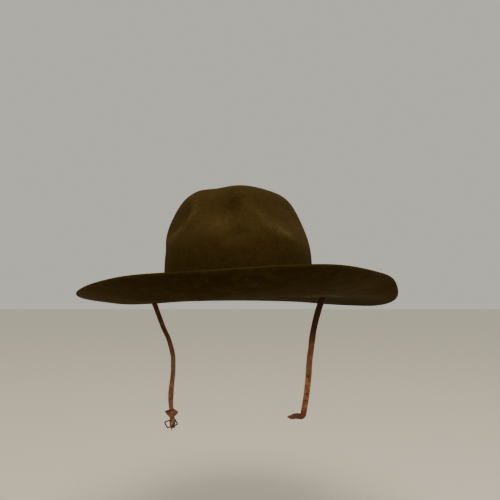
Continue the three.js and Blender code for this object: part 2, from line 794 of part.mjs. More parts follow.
// Buckle frame: a closed loop of wire, a rectangle with rounded corners
const arm = rising.clone().multiplyScalar(Math.cos(degrees(frame_fold)));
arm.addScaledVector(fore, -Math.sin(degrees(frame_fold)));
const frame_normal = bar.clone().cross(arm);
const corner_radius = wire * frame_corner;
function wireRing(centre, tangent) {
  const sideways = frame_normal.clone().cross(tangent);
  return Array.from({ length: wire_sides }, (_, side) => {
    const angle = (side * 2 * Math.PI) / wire_sides;
    return centre
      .clone()
      .addScaledVector(frame_normal, (wire / 2) * Math.cos(angle))
      .addScaledVector(sideways, (wire / 2) * Math.sin(angle));
  });
}
const frame_corners = [
  { across: 1, tall: 0, start: -90 },
  { across: 1, tall: 1, start: 0 },
  { across: -1, tall: 1, start: 90 },
  { across: -1, tall: 0, start: 180 },
];
const frame_rings = frame_corners.flatMap((corner) =>
  [0, 30, 60, 90].map((step) => {
    const angle = degrees(corner.start + step);
    const half = (buckle_wide - wire) / 2 - corner_radius;
    const tall = corner.tall ? buckle_tall - wire - corner_radius : corner_radius;
    const centre = fold_centre
      .clone()
      .addScaledVector(bar, corner.across * half + corner_radius * Math.cos(angle))
      .addScaledVector(arm, tall + corner_radius * Math.sin(angle));
    const tangent = bar.clone().multiplyScalar(-Math.sin(angle)).addScaledVector(arm, Math.cos(angle));
    return wireRing(centre, tangent);
  }),
);

// Prong: an eye round the bar, drawn out into a straight wire
const eye_inner = wire / 2 + fit_gap;
const prong_line = rising.clone().multiplyScalar(Math.cos(degrees(prong_fold)));
prong_line.addScaledVector(fore, -Math.sin(degrees(prong_fold)));
function eyeRing(angle) {
  const outwards = rising.clone().multiplyScalar(Math.cos(angle)).addScaledVector(fore, Math.sin(angle));
  const corner = (radius, side) =>
    fold_centre.clone().addScaledVector(outwards, radius).addScaledVector(bar, (side * prong_wire) / 2);
  const outer = eye_inner + prong_eye_wall;
  return [corner(eye_inner, -1), corner(outer, -1), corner(outer, 1), corner(eye_inner, 1)];
}
const eye_rings = Array.from({ length: eye_sides }, (_, side) => eyeRing((side * 2 * Math.PI) / eye_sides));
const prong_across = prong_line.clone().cross(bar);
function prongRing(reach, radius) {
  return Array.from({ length: wire_sides }, (_, side) => {
    const angle = (side * 2 * Math.PI) / wire_sides;
    return fold_centre
      .clone()
      .addScaledVector(prong_line, reach)
      .addScaledVector(bar, radius * Math.cos(angle))
      .addScaledVector(prong_across, radius * Math.sin(angle));
  });
}
const prong_stem = closedBody(
  prong_stem_rows.map((row) => prongRing(prong_length * row.reach, prong_wire * row.half)),
);
const prong_body = bodyOf(closedBody(eye_rings, "joined")).add(bodyOf(prong_stem));

// Finishes and the assembled hat
const finishes = {
  felt: { color: 0x54401f, roughness: 0.95, metalness: 0 },
  sweatband: { color: 0x3a2a1c, roughness: 0.8, metalness: 0 },
  strap: { color: 0x7a4526, roughness: 0.6, metalness: 0 },
  steel: { color: 0x3c3a36, roughness: 0.4, metalness: 1 },
};

const hat = new THREE.Group();
function place(name, geometry, finish) {
  const mesh = new THREE.Mesh(geometry, new THREE.MeshStandardMaterial(finish));
  mesh.name = name;
  hat.add(mesh);
}

place("felt_body", geometryOf(felt_body), finishes.felt);
place("sweatband", closedBody(band_rings, "joined"), finishes.sweatband);
place("chin_strap", geometryOf(chin_strap), finishes.strap);
place("strap_keeper", closedBody(keeper_rings, "joined"), finishes.strap);
place("buckle_frame", closedBody(frame_rings, "joined"), finishes.steel);
place("buckle_prong", geometryOf(prong_body), finishes.steel);

export default hat;
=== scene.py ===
"""Campaign hat: felt body, torn sweatband, two ended chin strap, keeper and wire buckle.

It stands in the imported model's frame: metres, origin at the centre of the head opening, +Z up through the
crown, front at -Y. Shapes are worked out in millimetres, as their tables are, and turned to metres as they go
into a mesh. Turns are degrees round the hat from the front, positive towards +X, the wearer's left.
"""

import bpy
import numpy as np
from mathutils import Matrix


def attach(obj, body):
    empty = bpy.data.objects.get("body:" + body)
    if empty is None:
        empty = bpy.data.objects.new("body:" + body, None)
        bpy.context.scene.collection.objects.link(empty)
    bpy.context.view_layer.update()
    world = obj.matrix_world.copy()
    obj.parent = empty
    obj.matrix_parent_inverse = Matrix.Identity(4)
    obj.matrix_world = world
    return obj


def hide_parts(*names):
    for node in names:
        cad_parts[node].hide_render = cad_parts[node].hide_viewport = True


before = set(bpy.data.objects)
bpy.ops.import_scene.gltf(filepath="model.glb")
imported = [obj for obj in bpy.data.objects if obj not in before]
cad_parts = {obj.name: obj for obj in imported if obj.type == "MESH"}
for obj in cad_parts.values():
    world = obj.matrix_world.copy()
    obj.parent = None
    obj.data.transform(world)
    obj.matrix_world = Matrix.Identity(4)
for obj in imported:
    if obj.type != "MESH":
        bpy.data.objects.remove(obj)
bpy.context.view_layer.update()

# Camera
# It stands level with the head opening and looks up a little, as the photograph's does once the hat's
# backward tilt is taken out. Its lens is as long as its sensor is wide.
camera_place = (0.0136, -0.5952, 0.0007)
camera_pitch = 5.3
camera_sensor = 36
camera_data = bpy.data.cameras.new("camera")
camera_data.lens = camera_sensor
camera_data.sensor_width = camera_sensor
camera_data.clip_start = 0.01
camera = bpy.data.objects.new("camera", camera_data)
camera.location = camera_place
camera.rotation_euler = (np.radians(90 + camera_pitch), 0, 0)
bpy.context.scene.collection.objects.link(camera)
bpy.context.scene.camera = camera

# Felt body
# Crown and brim are one blocked body of fur felt, 2.4 mm thick, soft with age. The crown has lost its block's
# shape and is dented all round, and the brim has set in a turned up curve in front.
head_length = 200
head_width = 166
crown_height = 131
felt_wall = 2.4
break_radius = 6
brim_side = 94
brim_end = 92
sweatband_wall = 1.2
fit_gap = 0.3
half_width = head_width / 2 + sweatband_wall + fit_gap + felt_wall / 2
half_length = head_length / 2 + sweatband_wall + fit_gap + felt_wall / 2
break_top = felt_wall / 2 + break_radius
brim_mean = (brim_side + brim_end) / 2

# Section before it is dented: out is a share of the base's half width and half length, rise of the height
crown_section = np.array([
    # out, rise
    (0, 1),
    (0.14, 0.98),
    (0.3, 0.96),
    (0.47, 0.936),
    (0.6, 0.905),
    (0.71, 0.85),
    (0.8, 0.765),
    (0.88, 0.655),
    (0.94, 0.53),
    (0.975, 0.4),
    (0.995, 0.25),
    (1, 0),
])

# The section's first slope, and how far out its peak is rounded
peak_slope = 0.143
peak_soft = 0.06

# Dents: place runs from 0 at the peak to 1 at the break, across, along and depth are shares of the half width
crown_dents = [
    # turn, place, across, along, lean, depth
    (46, 0.574, 0.575, 0.354, 0, 0.12),
    (-78, 0.562, 0.309, 0.4, 4, -0.021),
    (-17, 0.549, 0.529, 0.227, 65.5, 0.124),
    (-91.5, 0.709, 0.521, 0.238, 27.5, -0.027),
    (-7, 0.734, 0.27, 0.14, -34.5, -0.03),
    (-41, 0.646, 0.519, 0.255, -14, 0.058),
    (-38, 0.195, 0.266, 0.334, -11, -0.009),
    (142, 0.5, 0.4, 0.36, 15, 0.08),
    (-142, 0.5, 0.4, 0.36, -15, 0.08),
]
dent_edge = 2.6
dent_aim = 0.4
dents_fade = 0.77
dents_end = 0.865

# Ridges between the dents, from one turn and place to another, reach and height as shares of the half width
crown_ridges = [
    # turn, place, to_turn, to_place, reach, height
    (-61, 0.296, -39, 0.684, 0.098, 0.014),
    (-42, 0.699, -61.5, 0.831, 0.11, 0.008),
    (15.5, 0.624, 43.5, 0.808, 0.102, 0.0135),
    (24.5, 0.083, 47, 0.42, 0.123, -0.004),
]

# Brim at every 15 degrees from the front: the edge's height and how far the felt hangs between crown and
# edge, as shares of the brim's mean width
brim_turns = np.array([
    # rise, belly
    (0.226, 0.056),
    (0.260, 0.031),
    (0.274, 0.021),
    (0.235, 0.014),
    (0.176, 0.007),
    (0.024, -0.002),
    (-0.070, -0.016),
    (-0.122, -0.015),
    (-0.129, -0.004),
    (-0.117, 0.007),
    (-0.086, 0.010),
    (-0.071, 0.010),
    (-0.065, 0.010),
    (-0.068, 0.010),
    (-0.080, 0.010),
    (-0.108, 0.010),
    (-0.113, 0.019),
    (-0.073, 0.035),
    (-0.032, 0.053),
    (0.012, 0.072),
    (0.060, 0.087),
    (0.123, 0.094),
    (0.176, 0.088),
    (0.198, 0.076),
])
brim_curl = 1.7


def eased(rows, where):
    """Smooth line through evenly spaced rows: on each span the cubic whose slope at either end is half the
    step between that end's two neighbours. where counts rows from 0."""
    rows = np.asarray(rows, float)
    first = np.clip(np.floor(where).astype(int), 0, len(rows) - 2)
    t = (where - first)[..., None]
    a, b = rows[np.maximum(first - 1, 0)], rows[first]
    c, d = rows[first + 1], rows[np.minimum(first + 2, len(rows) - 1)]
    return b + 0.5 * t * (c - a + t * (2 * a - 5 * b + 4 * c - d + t * (3 * (b - c) + d - a)))


def eased_round(rows, turn):
    """The same line, closed, through rows that are evenly spaced round the hat."""
    padded = np.concatenate([rows[-2:], rows, rows[:3]])
    where = np.mod(turn, 2 * np.pi) / (2 * np.pi) * len(rows)
    return eased(padded, where + 2)


def unit(v):
    """Each vector divided by its length."""
    return v / np.maximum(np.linalg.norm(v, axis=-1, keepdims=True), 1e-9)


def smoothstep(x, low, high):
    """0 below low, 1 above high and 3t^2 - 2t^3 between them."""
    t = np.clip((x - low) / (high - low), 0, 1)
    return t * t * (3 - 2 * t)


def dome(turn, place):
    """The crown on its block: an ellipse round, with the section's out as its size and rise as its height.
    The section's first slope runs out in a soft peak: sqrt(out^2 + peak_soft^2) takes the place of out."""
    section = eased(crown_section, place * (len(crown_section) - 1))
    out, rise = section[..., 0], section[..., 1]
    rise = rise - peak_slope * (np.sqrt(out ** 2 + peak_soft ** 2) - out) * (1 - smoothstep(out, 0.1, 0.3))
    height = break_top + (crown_height - break_top) * rise
    return np.stack([half_width * out * np.sin(turn), -half_length * out * np.cos(turn), height], -1)


dome_middle = np.array([0, 0, crown_height * dent_aim])


def turned(v, axis, angle):
    """v turned about a unit axis: v cos + (axis x v) sin + axis (axis . v)(1 - cos)."""
    c, s = np.cos(angle), np.sin(angle)
    return v * c + np.cross(axis, v) * s + axis * np.dot(axis, v) * (1 - c)


def dent_push(plain, row):
    """How far one dent pushes in: depth times e^-(r^edge), where r is the distance from the dent's centre in
    its own across, along and inward directions, each over its reach. Returns the push and its direction."""
    turn, place, across, along, lean, depth = row
    turn = np.radians(turn)
    centre = dome(turn, np.float64(place))
    inward = unit(dome_middle - centre)
    side = np.array([np.cos(turn), np.sin(turn), 0])
    side = unit(side - inward * np.dot(side, inward))
    down = np.cross(inward, side)
    side, down = turned(side, inward, np.radians(lean)), turned(down, inward, np.radians(lean))
    offset = (plain - centre) / half_width
    far = np.sqrt((offset @ side / across) ** 2 + (offset @ down / along) ** 2 + (offset @ inward) ** 2)
    return depth * half_width * np.exp(-far ** dent_edge), inward


def ridge_push(plain, row):
    """How far one ridge stands out: height times e^-(b^2 + n^2), where b is the distance beside the straight
    line between its two ends over its reach, and n the distance above or below that line."""
    turn, place, to_turn, to_place, reach, height = row
    start = dome(np.radians(turn), np.float64(place))
    end = dome(np.radians(to_turn), np.float64(to_place))
    line = end - start
    share = np.clip((plain - start) @ line / (line @ line), 0, 1)
    nearest = start + share[..., None] * line
    outwards = unit(nearest - dome_middle)
    offset = plain - nearest
    near = np.sum(offset * outwards, -1)
    beside = np.sum(offset * offset, -1) - near ** 2
    return height * half_width * np.exp(-beside / (reach * half_width) ** 2 - (near / half_width) ** 2)


def crown(turn, place):
    """The dome with its dents pushed in and its ridges out, back to plain in the band above the break."""
    plain = dome(turn, place)
    dented = plain.copy()
    for row in crown_dents:
        push, inward = dent_push(plain, row)
        dented += push[..., None] * inward
    outwards = unit(plain - dome_middle)
    for row in crown_ridges:
        dented += ridge_push(plain, row)[..., None] * outwards
    keep = smoothstep(place, dents_fade, dents_end)[..., None]
    return dented * (1 - keep) + plain * keep


def wall(turn, out):
    """The ellipse of the crown's wall, moved out along its normal."""
    away = unit(np.stack([np.sin(turn) / half_width, -np.cos(turn) / half_length, 0 * turn], -1))
    base = np.stack([half_width * np.sin(turn), -half_length * np.cos(turn), 0 * turn], -1)
    return base + away * np.asarray(out)[..., None]


def brim(turn, share):
    """Straight out from the break to the brim's ellipse, height = rise share^curl - belly sin(pi share)."""
    start = wall(turn, np.full_like(turn, break_radius))
    edge_x = (half_width + brim_side) * np.sin(turn)
    edge_y = -(half_length + brim_end) * np.cos(turn)
    edge = np.stack([edge_x, edge_y, 0 * turn], -1)
    table = eased_round(brim_turns, turn)
    point = start + (edge - start) * share[..., None]
    rise = table[..., 0] * np.clip(share, 0, None) ** brim_curl - table[..., 1] * np.sin(np.pi * share)
    point[..., 2] = felt_wall / 2 + brim_mean * rise
    return point


def felt(turn, step):
    """The middle of the felt: the crown for steps 0 to 1, a quarter circle at the break to 2, the brim to
    3."""
    turn, step = np.broadcast_arrays(np.asarray(turn, float), np.asarray(step, float))
    angle = np.clip(step - 1, 0, 1) * np.pi / 2
    bend = wall(turn, break_radius * (1 - np.cos(angle)))
    bend[..., 2] = break_top - break_radius * np.sin(angle)
    low = crown(turn, np.clip(step, 0, 1))
    high = brim(turn, np.clip(step - 2, 0, 1))
    step = step[..., None]
    return np.where(step <= 1, low, np.where(step >= 2, high, bend))


def felt_outwards(turn, step):
    """The felt's outward direction: square to its slope down the hat and to its slope round the hat."""
    nudge = 0.004
    down = felt(turn, np.minimum(step + nudge, 3)) - felt(turn, np.maximum(step - nudge, 0.002))
    level = np.maximum(step, 0.02)
    around = felt(turn + nudge, level) - felt(turn - nudge, level)
    return unit(np.cross(down, around))


def lumps(points, count, longest, shortest, seed):
    """Soft unevenness about 0: the sum of cosines along seeded random directions and wavelengths in mm, over
    the root of their count."""
    random = np.random.default_rng(seed)
    direction = unit(random.normal(size=(count, 3)))
    wave = 2 * np.pi / random.uniform(shortest, longest, count)
    phase = random.uniform(0, 2 * np.pi, count)
    return np.cos(points @ (direction * wave[:, None]).T + phase).sum(-1) / np.sqrt(count)


def into_mesh(name, rings, ends="caps", smooth=True):
    """One closed mesh from an array of rings of points in mm: quads between neighbouring rings, and either a
    fan to the middle of each end ring, or the last ring joined to the first."""
    count, sides = rings.shape[:2]
    points = rings.reshape(-1, 3)
    spans = count if ends == "joined" else count - 1
    ring, side = np.meshgrid(np.arange(spans), np.arange(sides), indexing="ij")
    here, along = ring * sides, (side + 1) % sides
    then = ((ring + 1) % count) * sides
    quads = np.stack([here + side, here + along, then + along, then + side], -1).reshape(-1, 4)
    fans = np.empty((0, 3), int)
    if ends == "caps":
        points = np.concatenate([points, [rings[0].mean(0), rings[-1].mean(0)]])
        k, last_ring = np.arange(sides), (count - 1) * sides
        first, last = np.full(sides, len(points) - 2), np.full(sides, len(points) - 1)
        first_fan = np.stack([first, (k + 1) % sides, k], -1)
        fans = np.concatenate([first_fan, np.stack([last, last_ring + k, last_ring + (k + 1) % sides], -1)])
    # Six times the volume by the divergence rule says whether the faces point out
    a, b, c, d = np.moveaxis(points[quads], 1, 0)
    volume = np.sum(a * np.cross(b, c)) + np.sum(a * np.cross(c, d))
    a, b, c = np.moveaxis(points[fans], 1, 0)
    volume += np.sum(a * np.cross(b, c))
    faces = quads.tolist() + fans.tolist()
    if volume < 0:
        faces = [face[::-1] for face in faces]
    mesh = bpy.data.meshes.new(name)
    mesh.from_pydata((points / 1000).tolist(), [], faces)
    mesh.polygons.foreach_set("use_smooth", np.full(len(faces), smooth))
    mesh.update()
    piece = bpy.data.objects.new(name, mesh)
    bpy.context.scene.collection.objects.link(piece)
    return piece


def note(piece, name, values):
    """Keeps one number for each vertex, for the material to read."""
    attribute = piece.data.attributes.new(name, "FLOAT", "POINT")
    attribute.data.foreach_set("value", np.asarray(values, np.float32))


felt_sides = 360
crown_rings = 66
break_rings = 8
brim_rings = 44
edge_rings = 5
lump_height = 0.3
steps = np.concatenate([
    np.arange(1, crown_rings + 1) / crown_rings,
    1 + np.arange(1, break_rings + 1) / break_rings,
    2 + np.arange(1, brim_rings + 1) / brim_rings,
])
turns = np.arange(felt_sides) * 2 * np.pi / felt_sides
turn_grid, step_grid = np.meshgrid(turns, steps)
middle = felt(turn_grid, step_grid)
outwards = felt_outwards(turn_grid, step_grid)

# The felt's soft unevenness fades out at the peak, at the cut edge, and near the break, where band and strap
# lie against it
uneven = lumps(middle, count=30, longest=70, shortest=22, seed=5) * lump_height
uneven *= smoothstep(step_grid, 0, 0.2) * (1 - smoothstep(step_grid, 2.96, 3))
uneven *= smoothstep(np.abs(step_grid - 1.1), 0.35, 0.7)
middle = middle + outwards * uneven[..., None]
outer = middle + outwards * felt_wall / 2
inner = middle - outwards * felt_wall / 2

# The cut edge is a half round between the two faces
edge_away = unit(middle[-1] - middle[-2])
edge_turn = np.linspace(0, np.pi, edge_rings + 2)[1:-1, None, None]
edge = middle[-1] + outwards[-1] * np.cos(edge_turn) * felt_wall / 2
edge = edge + edge_away * np.sin(edge_turn) * felt_wall / 3
hat_felt = into_mesh("hat_felt", np.concatenate([outer, edge, inner[::-1]]))

# Paler lines: rubbed nap with painted highlights along the crown's creases and the rim, and painted
# highlights on the front's swell and its turned edges
left_crease = [
    # turn, place, half width in mm, strength
    (-62, 0.38, 4, 0.1),
    (-48, 0.5, 4.4, 0.28),
    (-41, 0.594, 4.6, 0.32),
    (-43, 0.662, 4.4, 0.36),
    (-49, 0.72, 4.2, 0.38),
    (-64, 0.765, 4.2, 0.38),
    (-78, 0.8, 3.6, 0.15),
]
right_crease = [
    (11, 0.55, 5, 0.08),
    (19, 0.626, 5.6, 0.2),
    (27, 0.701, 5.8, 0.32),
    (34.5, 0.74, 5.6, 0.5),
    (40, 0.756, 5, 0.5),
    (46, 0.776, 4.6, 0.15),
]
# A painted highlight on the front's upward swell
front_swell_highlight = [
    (-25, 0.7, 7, 0.05),
    (-15, 0.68, 10, 0.15),
    (-7, 0.66, 7, 0.05),
]
# A painted highlight along the right side's turned edge
right_side_highlight = [
    (84, 0.477, 2.6, 0.2),
    (86, 0.532, 3, 0.8),
    (88, 0.587, 3, 0.8),
    (90, 0.646, 2.6, 0.3),
]
# A painted highlight along the crown's top edge
top_edge_highlight = [
    (-60, 0.24, 4, 0.2),
    (-50, 0.17, 4, 0.5),
    (-20, 0.13, 4, 0.5),
    (22, 0.15, 4, 0.2),
]
rubbed_and_lit_lines = [left_crease, right_crease, front_swell_highlight, right_side_highlight, top_edge_highlight]
line_points = 60
line_broken = 0.5
# The rim is paler for rubbed nap and as a painted highlight on its edge
rim_rubbed_and_lit = 0.12

# How faded the outer face is everywhere, how much paler where it faces up, and between which upward slopes
# Paler where the felt faces up is partly fading by dust and sun and partly painted light from above.
# The underside, left at 0, is darker partly as painted shade.
fade_and_light_least = 0.3
fade_and_light_upward = 0.6
fade_and_light_slopes = (-0.1, 0.7)

# Patches painted paler and darker: painted shade in the dents' hollows and below the right crease, a painted
# highlight on the front's swell, painted light low on the left, and paler felt low round the crown
painted_light_patches = [
    # turn, place, reach in mm, change
    (-15, 0.68, 13, 0.5),
    (22, 0.74, 14, 0.1),
    (24, 0.8, 16, -0.15),
    (-3, 0.545, 18, -0.3),
    (46, 0.5, 20, -0.2),
    (-78, 0.5, 22, -0.3),
    (-30, 0.88, 32, 0.35),
    (15, 0.9, 32, 0.3),
    (60, 0.88, 32, 0.25),
    (-76, 0.88, 28, 0.5),
]

# The brim's underside is paler towards its edge, where hands have held it, and has painted shadow behind
underside_wear_and_shade = [
    # turn, spread in degrees, from step, to step, change
    (-72, 26, 2, 2.8, 0.16),
    (68, 24, 2, 2.8, 0.08),
    (-122, 22, 1.9, 2.1, -0.3),
    (122, 22, 1.9, 2.1, -0.3),
]

# A painted highlight runs along the low fold beside the opening, on the wearer's left, this far out in mm
underside_fold = 119
fold_half = 3.5
fold_highlight = 0.7
fold_starts = (20, 50)
fold_ends = (75, 95)


def felt_marks():
    """Where the nap is rubbed off or a highlight is painted, and how far dust and sun have faded the felt,
    with painted light where it faces up and painted shade on the brim's underside behind. A line's strength
    falls off as e^-(far / half)^2 from the nearest of its points, a patch's as e^-(far / reach)^2. Each has a
    row for
    every ring of the felt: outer face, cut edge, inner face."""
    line = np.zeros_like(step_grid)
    for rows in rubbed_and_lit_lines:
        turn, place, half, strength = eased(rows, np.linspace(0, len(rows) - 1.001, line_points)).T
        points = crown(np.radians(turn), place)
        for point, reach, most in zip(points, half, strength):
            far = np.linalg.norm(middle - point, axis=-1)
            line = np.maximum(line, most * np.exp(-(far / reach) ** 2))
    broken = lumps(middle, count=24, longest=9, shortest=3, seed=8)
    line *= np.clip(1 + line_broken * broken, 0, 2)
    change = np.zeros_like(step_grid)
    # Painted light and painted shade from the patches
    for turn, place, reach, most in painted_light_patches:
        far = np.linalg.norm(middle - crown(np.radians(turn), np.float64(place)), axis=-1)
        change += most * np.exp(-(far / reach) ** 2)
    rim = smoothstep(step_grid, 2.97, 3) * rim_rubbed_and_lit
    edge = np.full((edge_rings, felt_sides), rim_rubbed_and_lit)
    out = np.hypot(middle[..., 0], middle[..., 1])
    fold = fold_highlight * np.exp(-((out - underside_fold) / fold_half) ** 2)
    around = np.degrees(turn_grid)
    fold *= smoothstep(around, *fold_starts) * (1 - smoothstep(around, *fold_ends))
    rubbed_and_lit = np.concatenate([line + rim, edge, (rim + fold)[::-1]])
    fade_and_painted_light = fade_and_light_least + fade_and_light_upward * smoothstep(outwards[..., 2], *fade_and_light_slopes) + change
    under = np.zeros_like(fade_and_painted_light)
    for turn, spread, first, last, most in underside_wear_and_shade:
        off = (around - turn + 180) % 360 - 180
        under += most * np.exp(-(off / spread) ** 2) * smoothstep(step_grid, first, last)
    fade_and_painted_light = np.concatenate([np.clip(fade_and_painted_light, 0, 1), edge, under[::-1]])
    return rubbed_and_lit, fade_and_painted_light


rubbed_and_lit, fade_and_painted_light = felt_marks()
note(hat_felt, "rubbed_and_lit", np.append(rubbed_and_lit.ravel(), [rubbed_and_lit[0].mean(), 0]))
note(hat_felt, "fade_and_painted_light", np.append(fade_and_painted_light.ravel(), [fade_and_painted_light[0].mean(), 0]))

# Each strap slot is a straight cut down through the brim, a little longer and wider than the strap. Both lie
# a little behind the hat's middle.
strap_width = 7.5
strap_wall = 1.8
slot_back = 15
slot_clearance = 0.6
up = np.array([0.0, 0.0, 1.0])
slots = {
    # side: out from the crown's wall, direction of the slot's length
    -1: (20, 128),
    1: (17, 156),
}


def slot_place(side):
    """The middle of a slot, at the level of the head opening."""
    return np.array([side * (half_width + slots[side][0]), slot_back, 0.0])


def facing(angle, side=1):
    """A level direction, angle degrees from the wearer's left or, mirrored, from the right."""
    angle = np.radians(angle)
    return np.stack([side * np.cos(angle), np.sin(angle), 0 * angle], -1)


def cutter(middle, wide, thick, high, size):
    """A straight block about middle, along three directions, with its sizes along them."""
    corners = np.array([(-1, -1), (1, -1), (1, 1), (-1, 1)]) / 2
    foot = corners[:, :1] * size[0] * wide + corners[:, 1:] * size[1] * thick
    ends = np.array([-0.5, 0.5])[:, None, None] * size[2] * high
    return into_mesh("cutter", middle + foot[None] + ends, smooth=False)


def cut(piece, tools):
    """Cuts the tools out of the piece, for good, and deletes them."""
    for tool in tools:
        modifier = piece.modifiers.new("cut", "BOOLEAN")
        modifier.object = tool
        modifier.solver = "EXACT"
    graph = bpy.context.evaluated_depsgraph_get()
    mesh = bpy.data.meshes.new_from_object(piece.evaluated_get(graph))
    piece.modifiers.clear()
    old, piece.data = piece.data, mesh
    mesh.name = piece.name
    bpy.data.meshes.remove(old)
    for tool in tools:
        bpy.data.meshes.remove(tool.data)


slot_tools = []
for side, (out, face) in slots.items():
    wide = facing(face, side)
    size = (strap_width + 2 * slot_clearance, strap_wall + 2 * slot_clearance, 2 * brim_mean)
    slot_tools.append(cutter(slot_place(side), wide, np.cross(up, wide), up, size))
cut(hat_felt, slot_tools)


def linear(colour):
    """An sRGB hex colour as linear red, green, blue and alpha."""
    share = np.array([colour >> 16 & 255, colour >> 8 & 255, colour & 255]) / 255
    values = np.where(share <= 0.04045, share / 12.92, ((share + 0.055) / 1.055) ** 2.4)
    return (*values.tolist(), 1)


def fill(node, sockets):
    """Fills each socket with a value, or links another node's output to it."""
    for key, value in sockets.items():
        if isinstance(value, bpy.types.NodeSocket):
            node.id_data.links.new(value, node.inputs[key])
        else:
            node.inputs[key].default_value = value


def add(tree, kind, sockets={}, **settings):
    """Adds a node, sets its properties and fills its sockets."""
    node = tree.nodes.new(kind)
    for name, value in settings.items():
        setattr(node, name, value)
    fill(node, sockets)
    return node


def material(name):
    """An empty material: its node tree, its surface shader and the object's own coordinates."""
    made = bpy.data.materials.new(name)
    made.use_nodes = True
    tree = made.node_tree
    shader = tree.nodes["Principled BSDF"]
    place = add(tree, "ShaderNodeTexCoord").outputs["Object"]
    return made, tree, shader, place


# Fur felt: rabbit underfur, shrunk and pounced with fine paper. It scatters light softly, with a faint bloom
# at grazing angles, and its dye has worn in patches about 8 and 45 mm across. Its fibres are too fine to
# show, so they are drawn as tufts and flecks about 2 mm apart.
# The underside's colour: darker than the outer felt, partly as painted shade
felt_under_shaded = 0x1F1501
felt_olive = 0x2B2004
felt_plain = 0x30210A
# Painted shadow on the brim's underside behind the crown
felt_painted_shadow = 0x191401
felt_faded_and_lit = 0x3D2F15
felt_fleck = 0x564822
# Rubbed nap, and painted highlights on creases, turned edges and the rim
felt_rubbed_and_lit = 0x6C5B34
felt_bloom = 0xB09040
fur_felt, tree, shader, place = material("fur_felt")
fleck = add(tree, "ShaderNodeTexNoise", {"Vector": place, "Scale": 560, "Detail": 4, "Roughness": 0.7})
patch = add(tree, "ShaderNodeTexNoise", {"Vector": place, "Scale": 120, "Detail": 4, "Roughness": 0.65})
stain = add(tree, "ShaderNodeTexNoise", {"Vector": place, "Scale": 22, "Detail": 3, "Roughness": 0.5})
# This attribute carries fading together with painted light from above and painted shade on the underside
dust_and_light = add(tree, "ShaderNodeAttribute", attribute_name="fade_and_painted_light")
outer_dust_and_light = add(tree, "ShaderNodeMapRange", {0: dust_and_light.outputs["Fac"], 1: 0, 2: 0.3})
mottled = add(tree, "ShaderNodeMapRange", {0: patch.outputs[0], 1: 0.22, 2: 0.78})
patchy = add(tree, "ShaderNodeMapRange", {0: patch.outputs[0], 1: 0.38, 2: 0.66, 3: -0.25, 4: 0.25})
stained = add(tree, "ShaderNodeMapRange", {0: stain.outputs[0], 1: 0.38, 2: 0.66, 3: -0.12, 4: 0.12})
# The faded colour is laid on partly for fading and partly as painted light where the felt faces up
fading_and_light = add(tree, "ShaderNodeMapRange", {0: dust_and_light.outputs["Fac"], 1: 0.3, 2: 1})
fading_and_light = add(tree, "ShaderNodeMath", {0: fading_and_light.outputs[0], 1: patchy.outputs[0]})
fading_and_light = add(tree, "ShaderNodeMath", {0: fading_and_light.outputs[0], 1: stained.outputs[0]}, use_clamp=True)
flecked = add(tree, "ShaderNodeMapRange", {0: fleck.outputs[0], 1: 0.4, 2: 0.68, 4: 0.32})
flecked = add(tree, "ShaderNodeMath", {0: flecked.outputs[0], 1: outer_dust_and_light.outputs[0]}, operation="MULTIPLY")
# Painted shadow where the attribute runs below 0, on the brim's underside behind
painted_shadow = add(tree, "ShaderNodeMapRange", {0: dust_and_light.outputs["Fac"], 1: 0, 2: -0.3})
# This attribute lays on the rubbed colour for rubbed nap and for painted highlights
rub_and_light = add(tree, "ShaderNodeAttribute", attribute_name="rubbed_and_lit")
rub_and_light_patch = add(tree, "ShaderNodeMath", {0: rub_and_light.outputs["Fac"], 1: patch.outputs[0]}, operation="MULTIPLY")

# Each colour is laid over the ones before it by its own share
tone = linear(felt_under_shaded)
for share, colour in [
    (mottled.outputs[0], felt_olive),
    (outer_dust_and_light.outputs[0], felt_plain),
    (fading_and_light.outputs[0], felt_faded_and_lit),
    (flecked.outputs[0], felt_fleck),
    (painted_shadow.outputs[0], felt_painted_shadow),
    (rub_and_light_patch.outputs[0], felt_rubbed_and_lit),
]:
    tone = add(tree, "ShaderNodeMix", {0: share, 6: tone, 7: linear(colour)}, data_type="RGBA").outputs[2]
nap = add(tree, "ShaderNodeTexNoise", {"Vector": place, "Scale": 600, "Detail": 5, "Roughness": 0.7})
relief = add(tree, "ShaderNodeMix", {0: 0.4, 2: nap.outputs[0], 3: patch.outputs[0]})
bump = add(tree, "ShaderNodeBump", {"Strength": 0.5, "Distance": 0.0006, "Height": relief.outputs[0]})
fill(shader, {
    "Base Color": tone,
    "Normal": bump.outputs[0],
    "Roughness": 0.95,
    "Specular IOR Level": 0.05,
    "Sheen Weight": 0.06,
    "Sheen Roughness": 0.45,
    "Sheen Tint": linear(felt_bloom),
})
hat_felt.data.materials.append(fur_felt)
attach(hat_felt, "hat")
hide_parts("felt_body")

# Sweatband
# A band of thin vegetable tanned sheepskin inside the crown's base, sewn along its lower edge. Sweat has made
# it dark and stiff, and in front its lower edge has torn away in tongues.
sweatband_height = 42
sweatband_hem = 0.9
tear_depth = 3.2
teeth_depth = 0.16
teeth_count = 420
torn_from = (-32, -26)
torn_to = (34, 40)
hem_thinned = 0.5
hem_thin_height = 2.5
band_swell = 0.12
tears = [
    # turn, half, drop
    (-24, 3, 0.45),
    (-11, 4, 1),
    (-2, 2.5, 0.45),
    (9, 3.5, 0.6),
    (14, 2, 0.4),
    (23, 2, 0.5),
    (32, 3.5, 0.65),
]
wall_shares = eased(crown_section, np.linspace(1, 0, 401) * (len(crown_section) - 1))


def wall_share(height):
    """The crown's size at a height, read back from its section."""
    rise = np.maximum((height - break_top) / (crown_height - break_top), 0)
    return np.interp(rise, wall_shares[:, 1], wall_shares[:, 0])


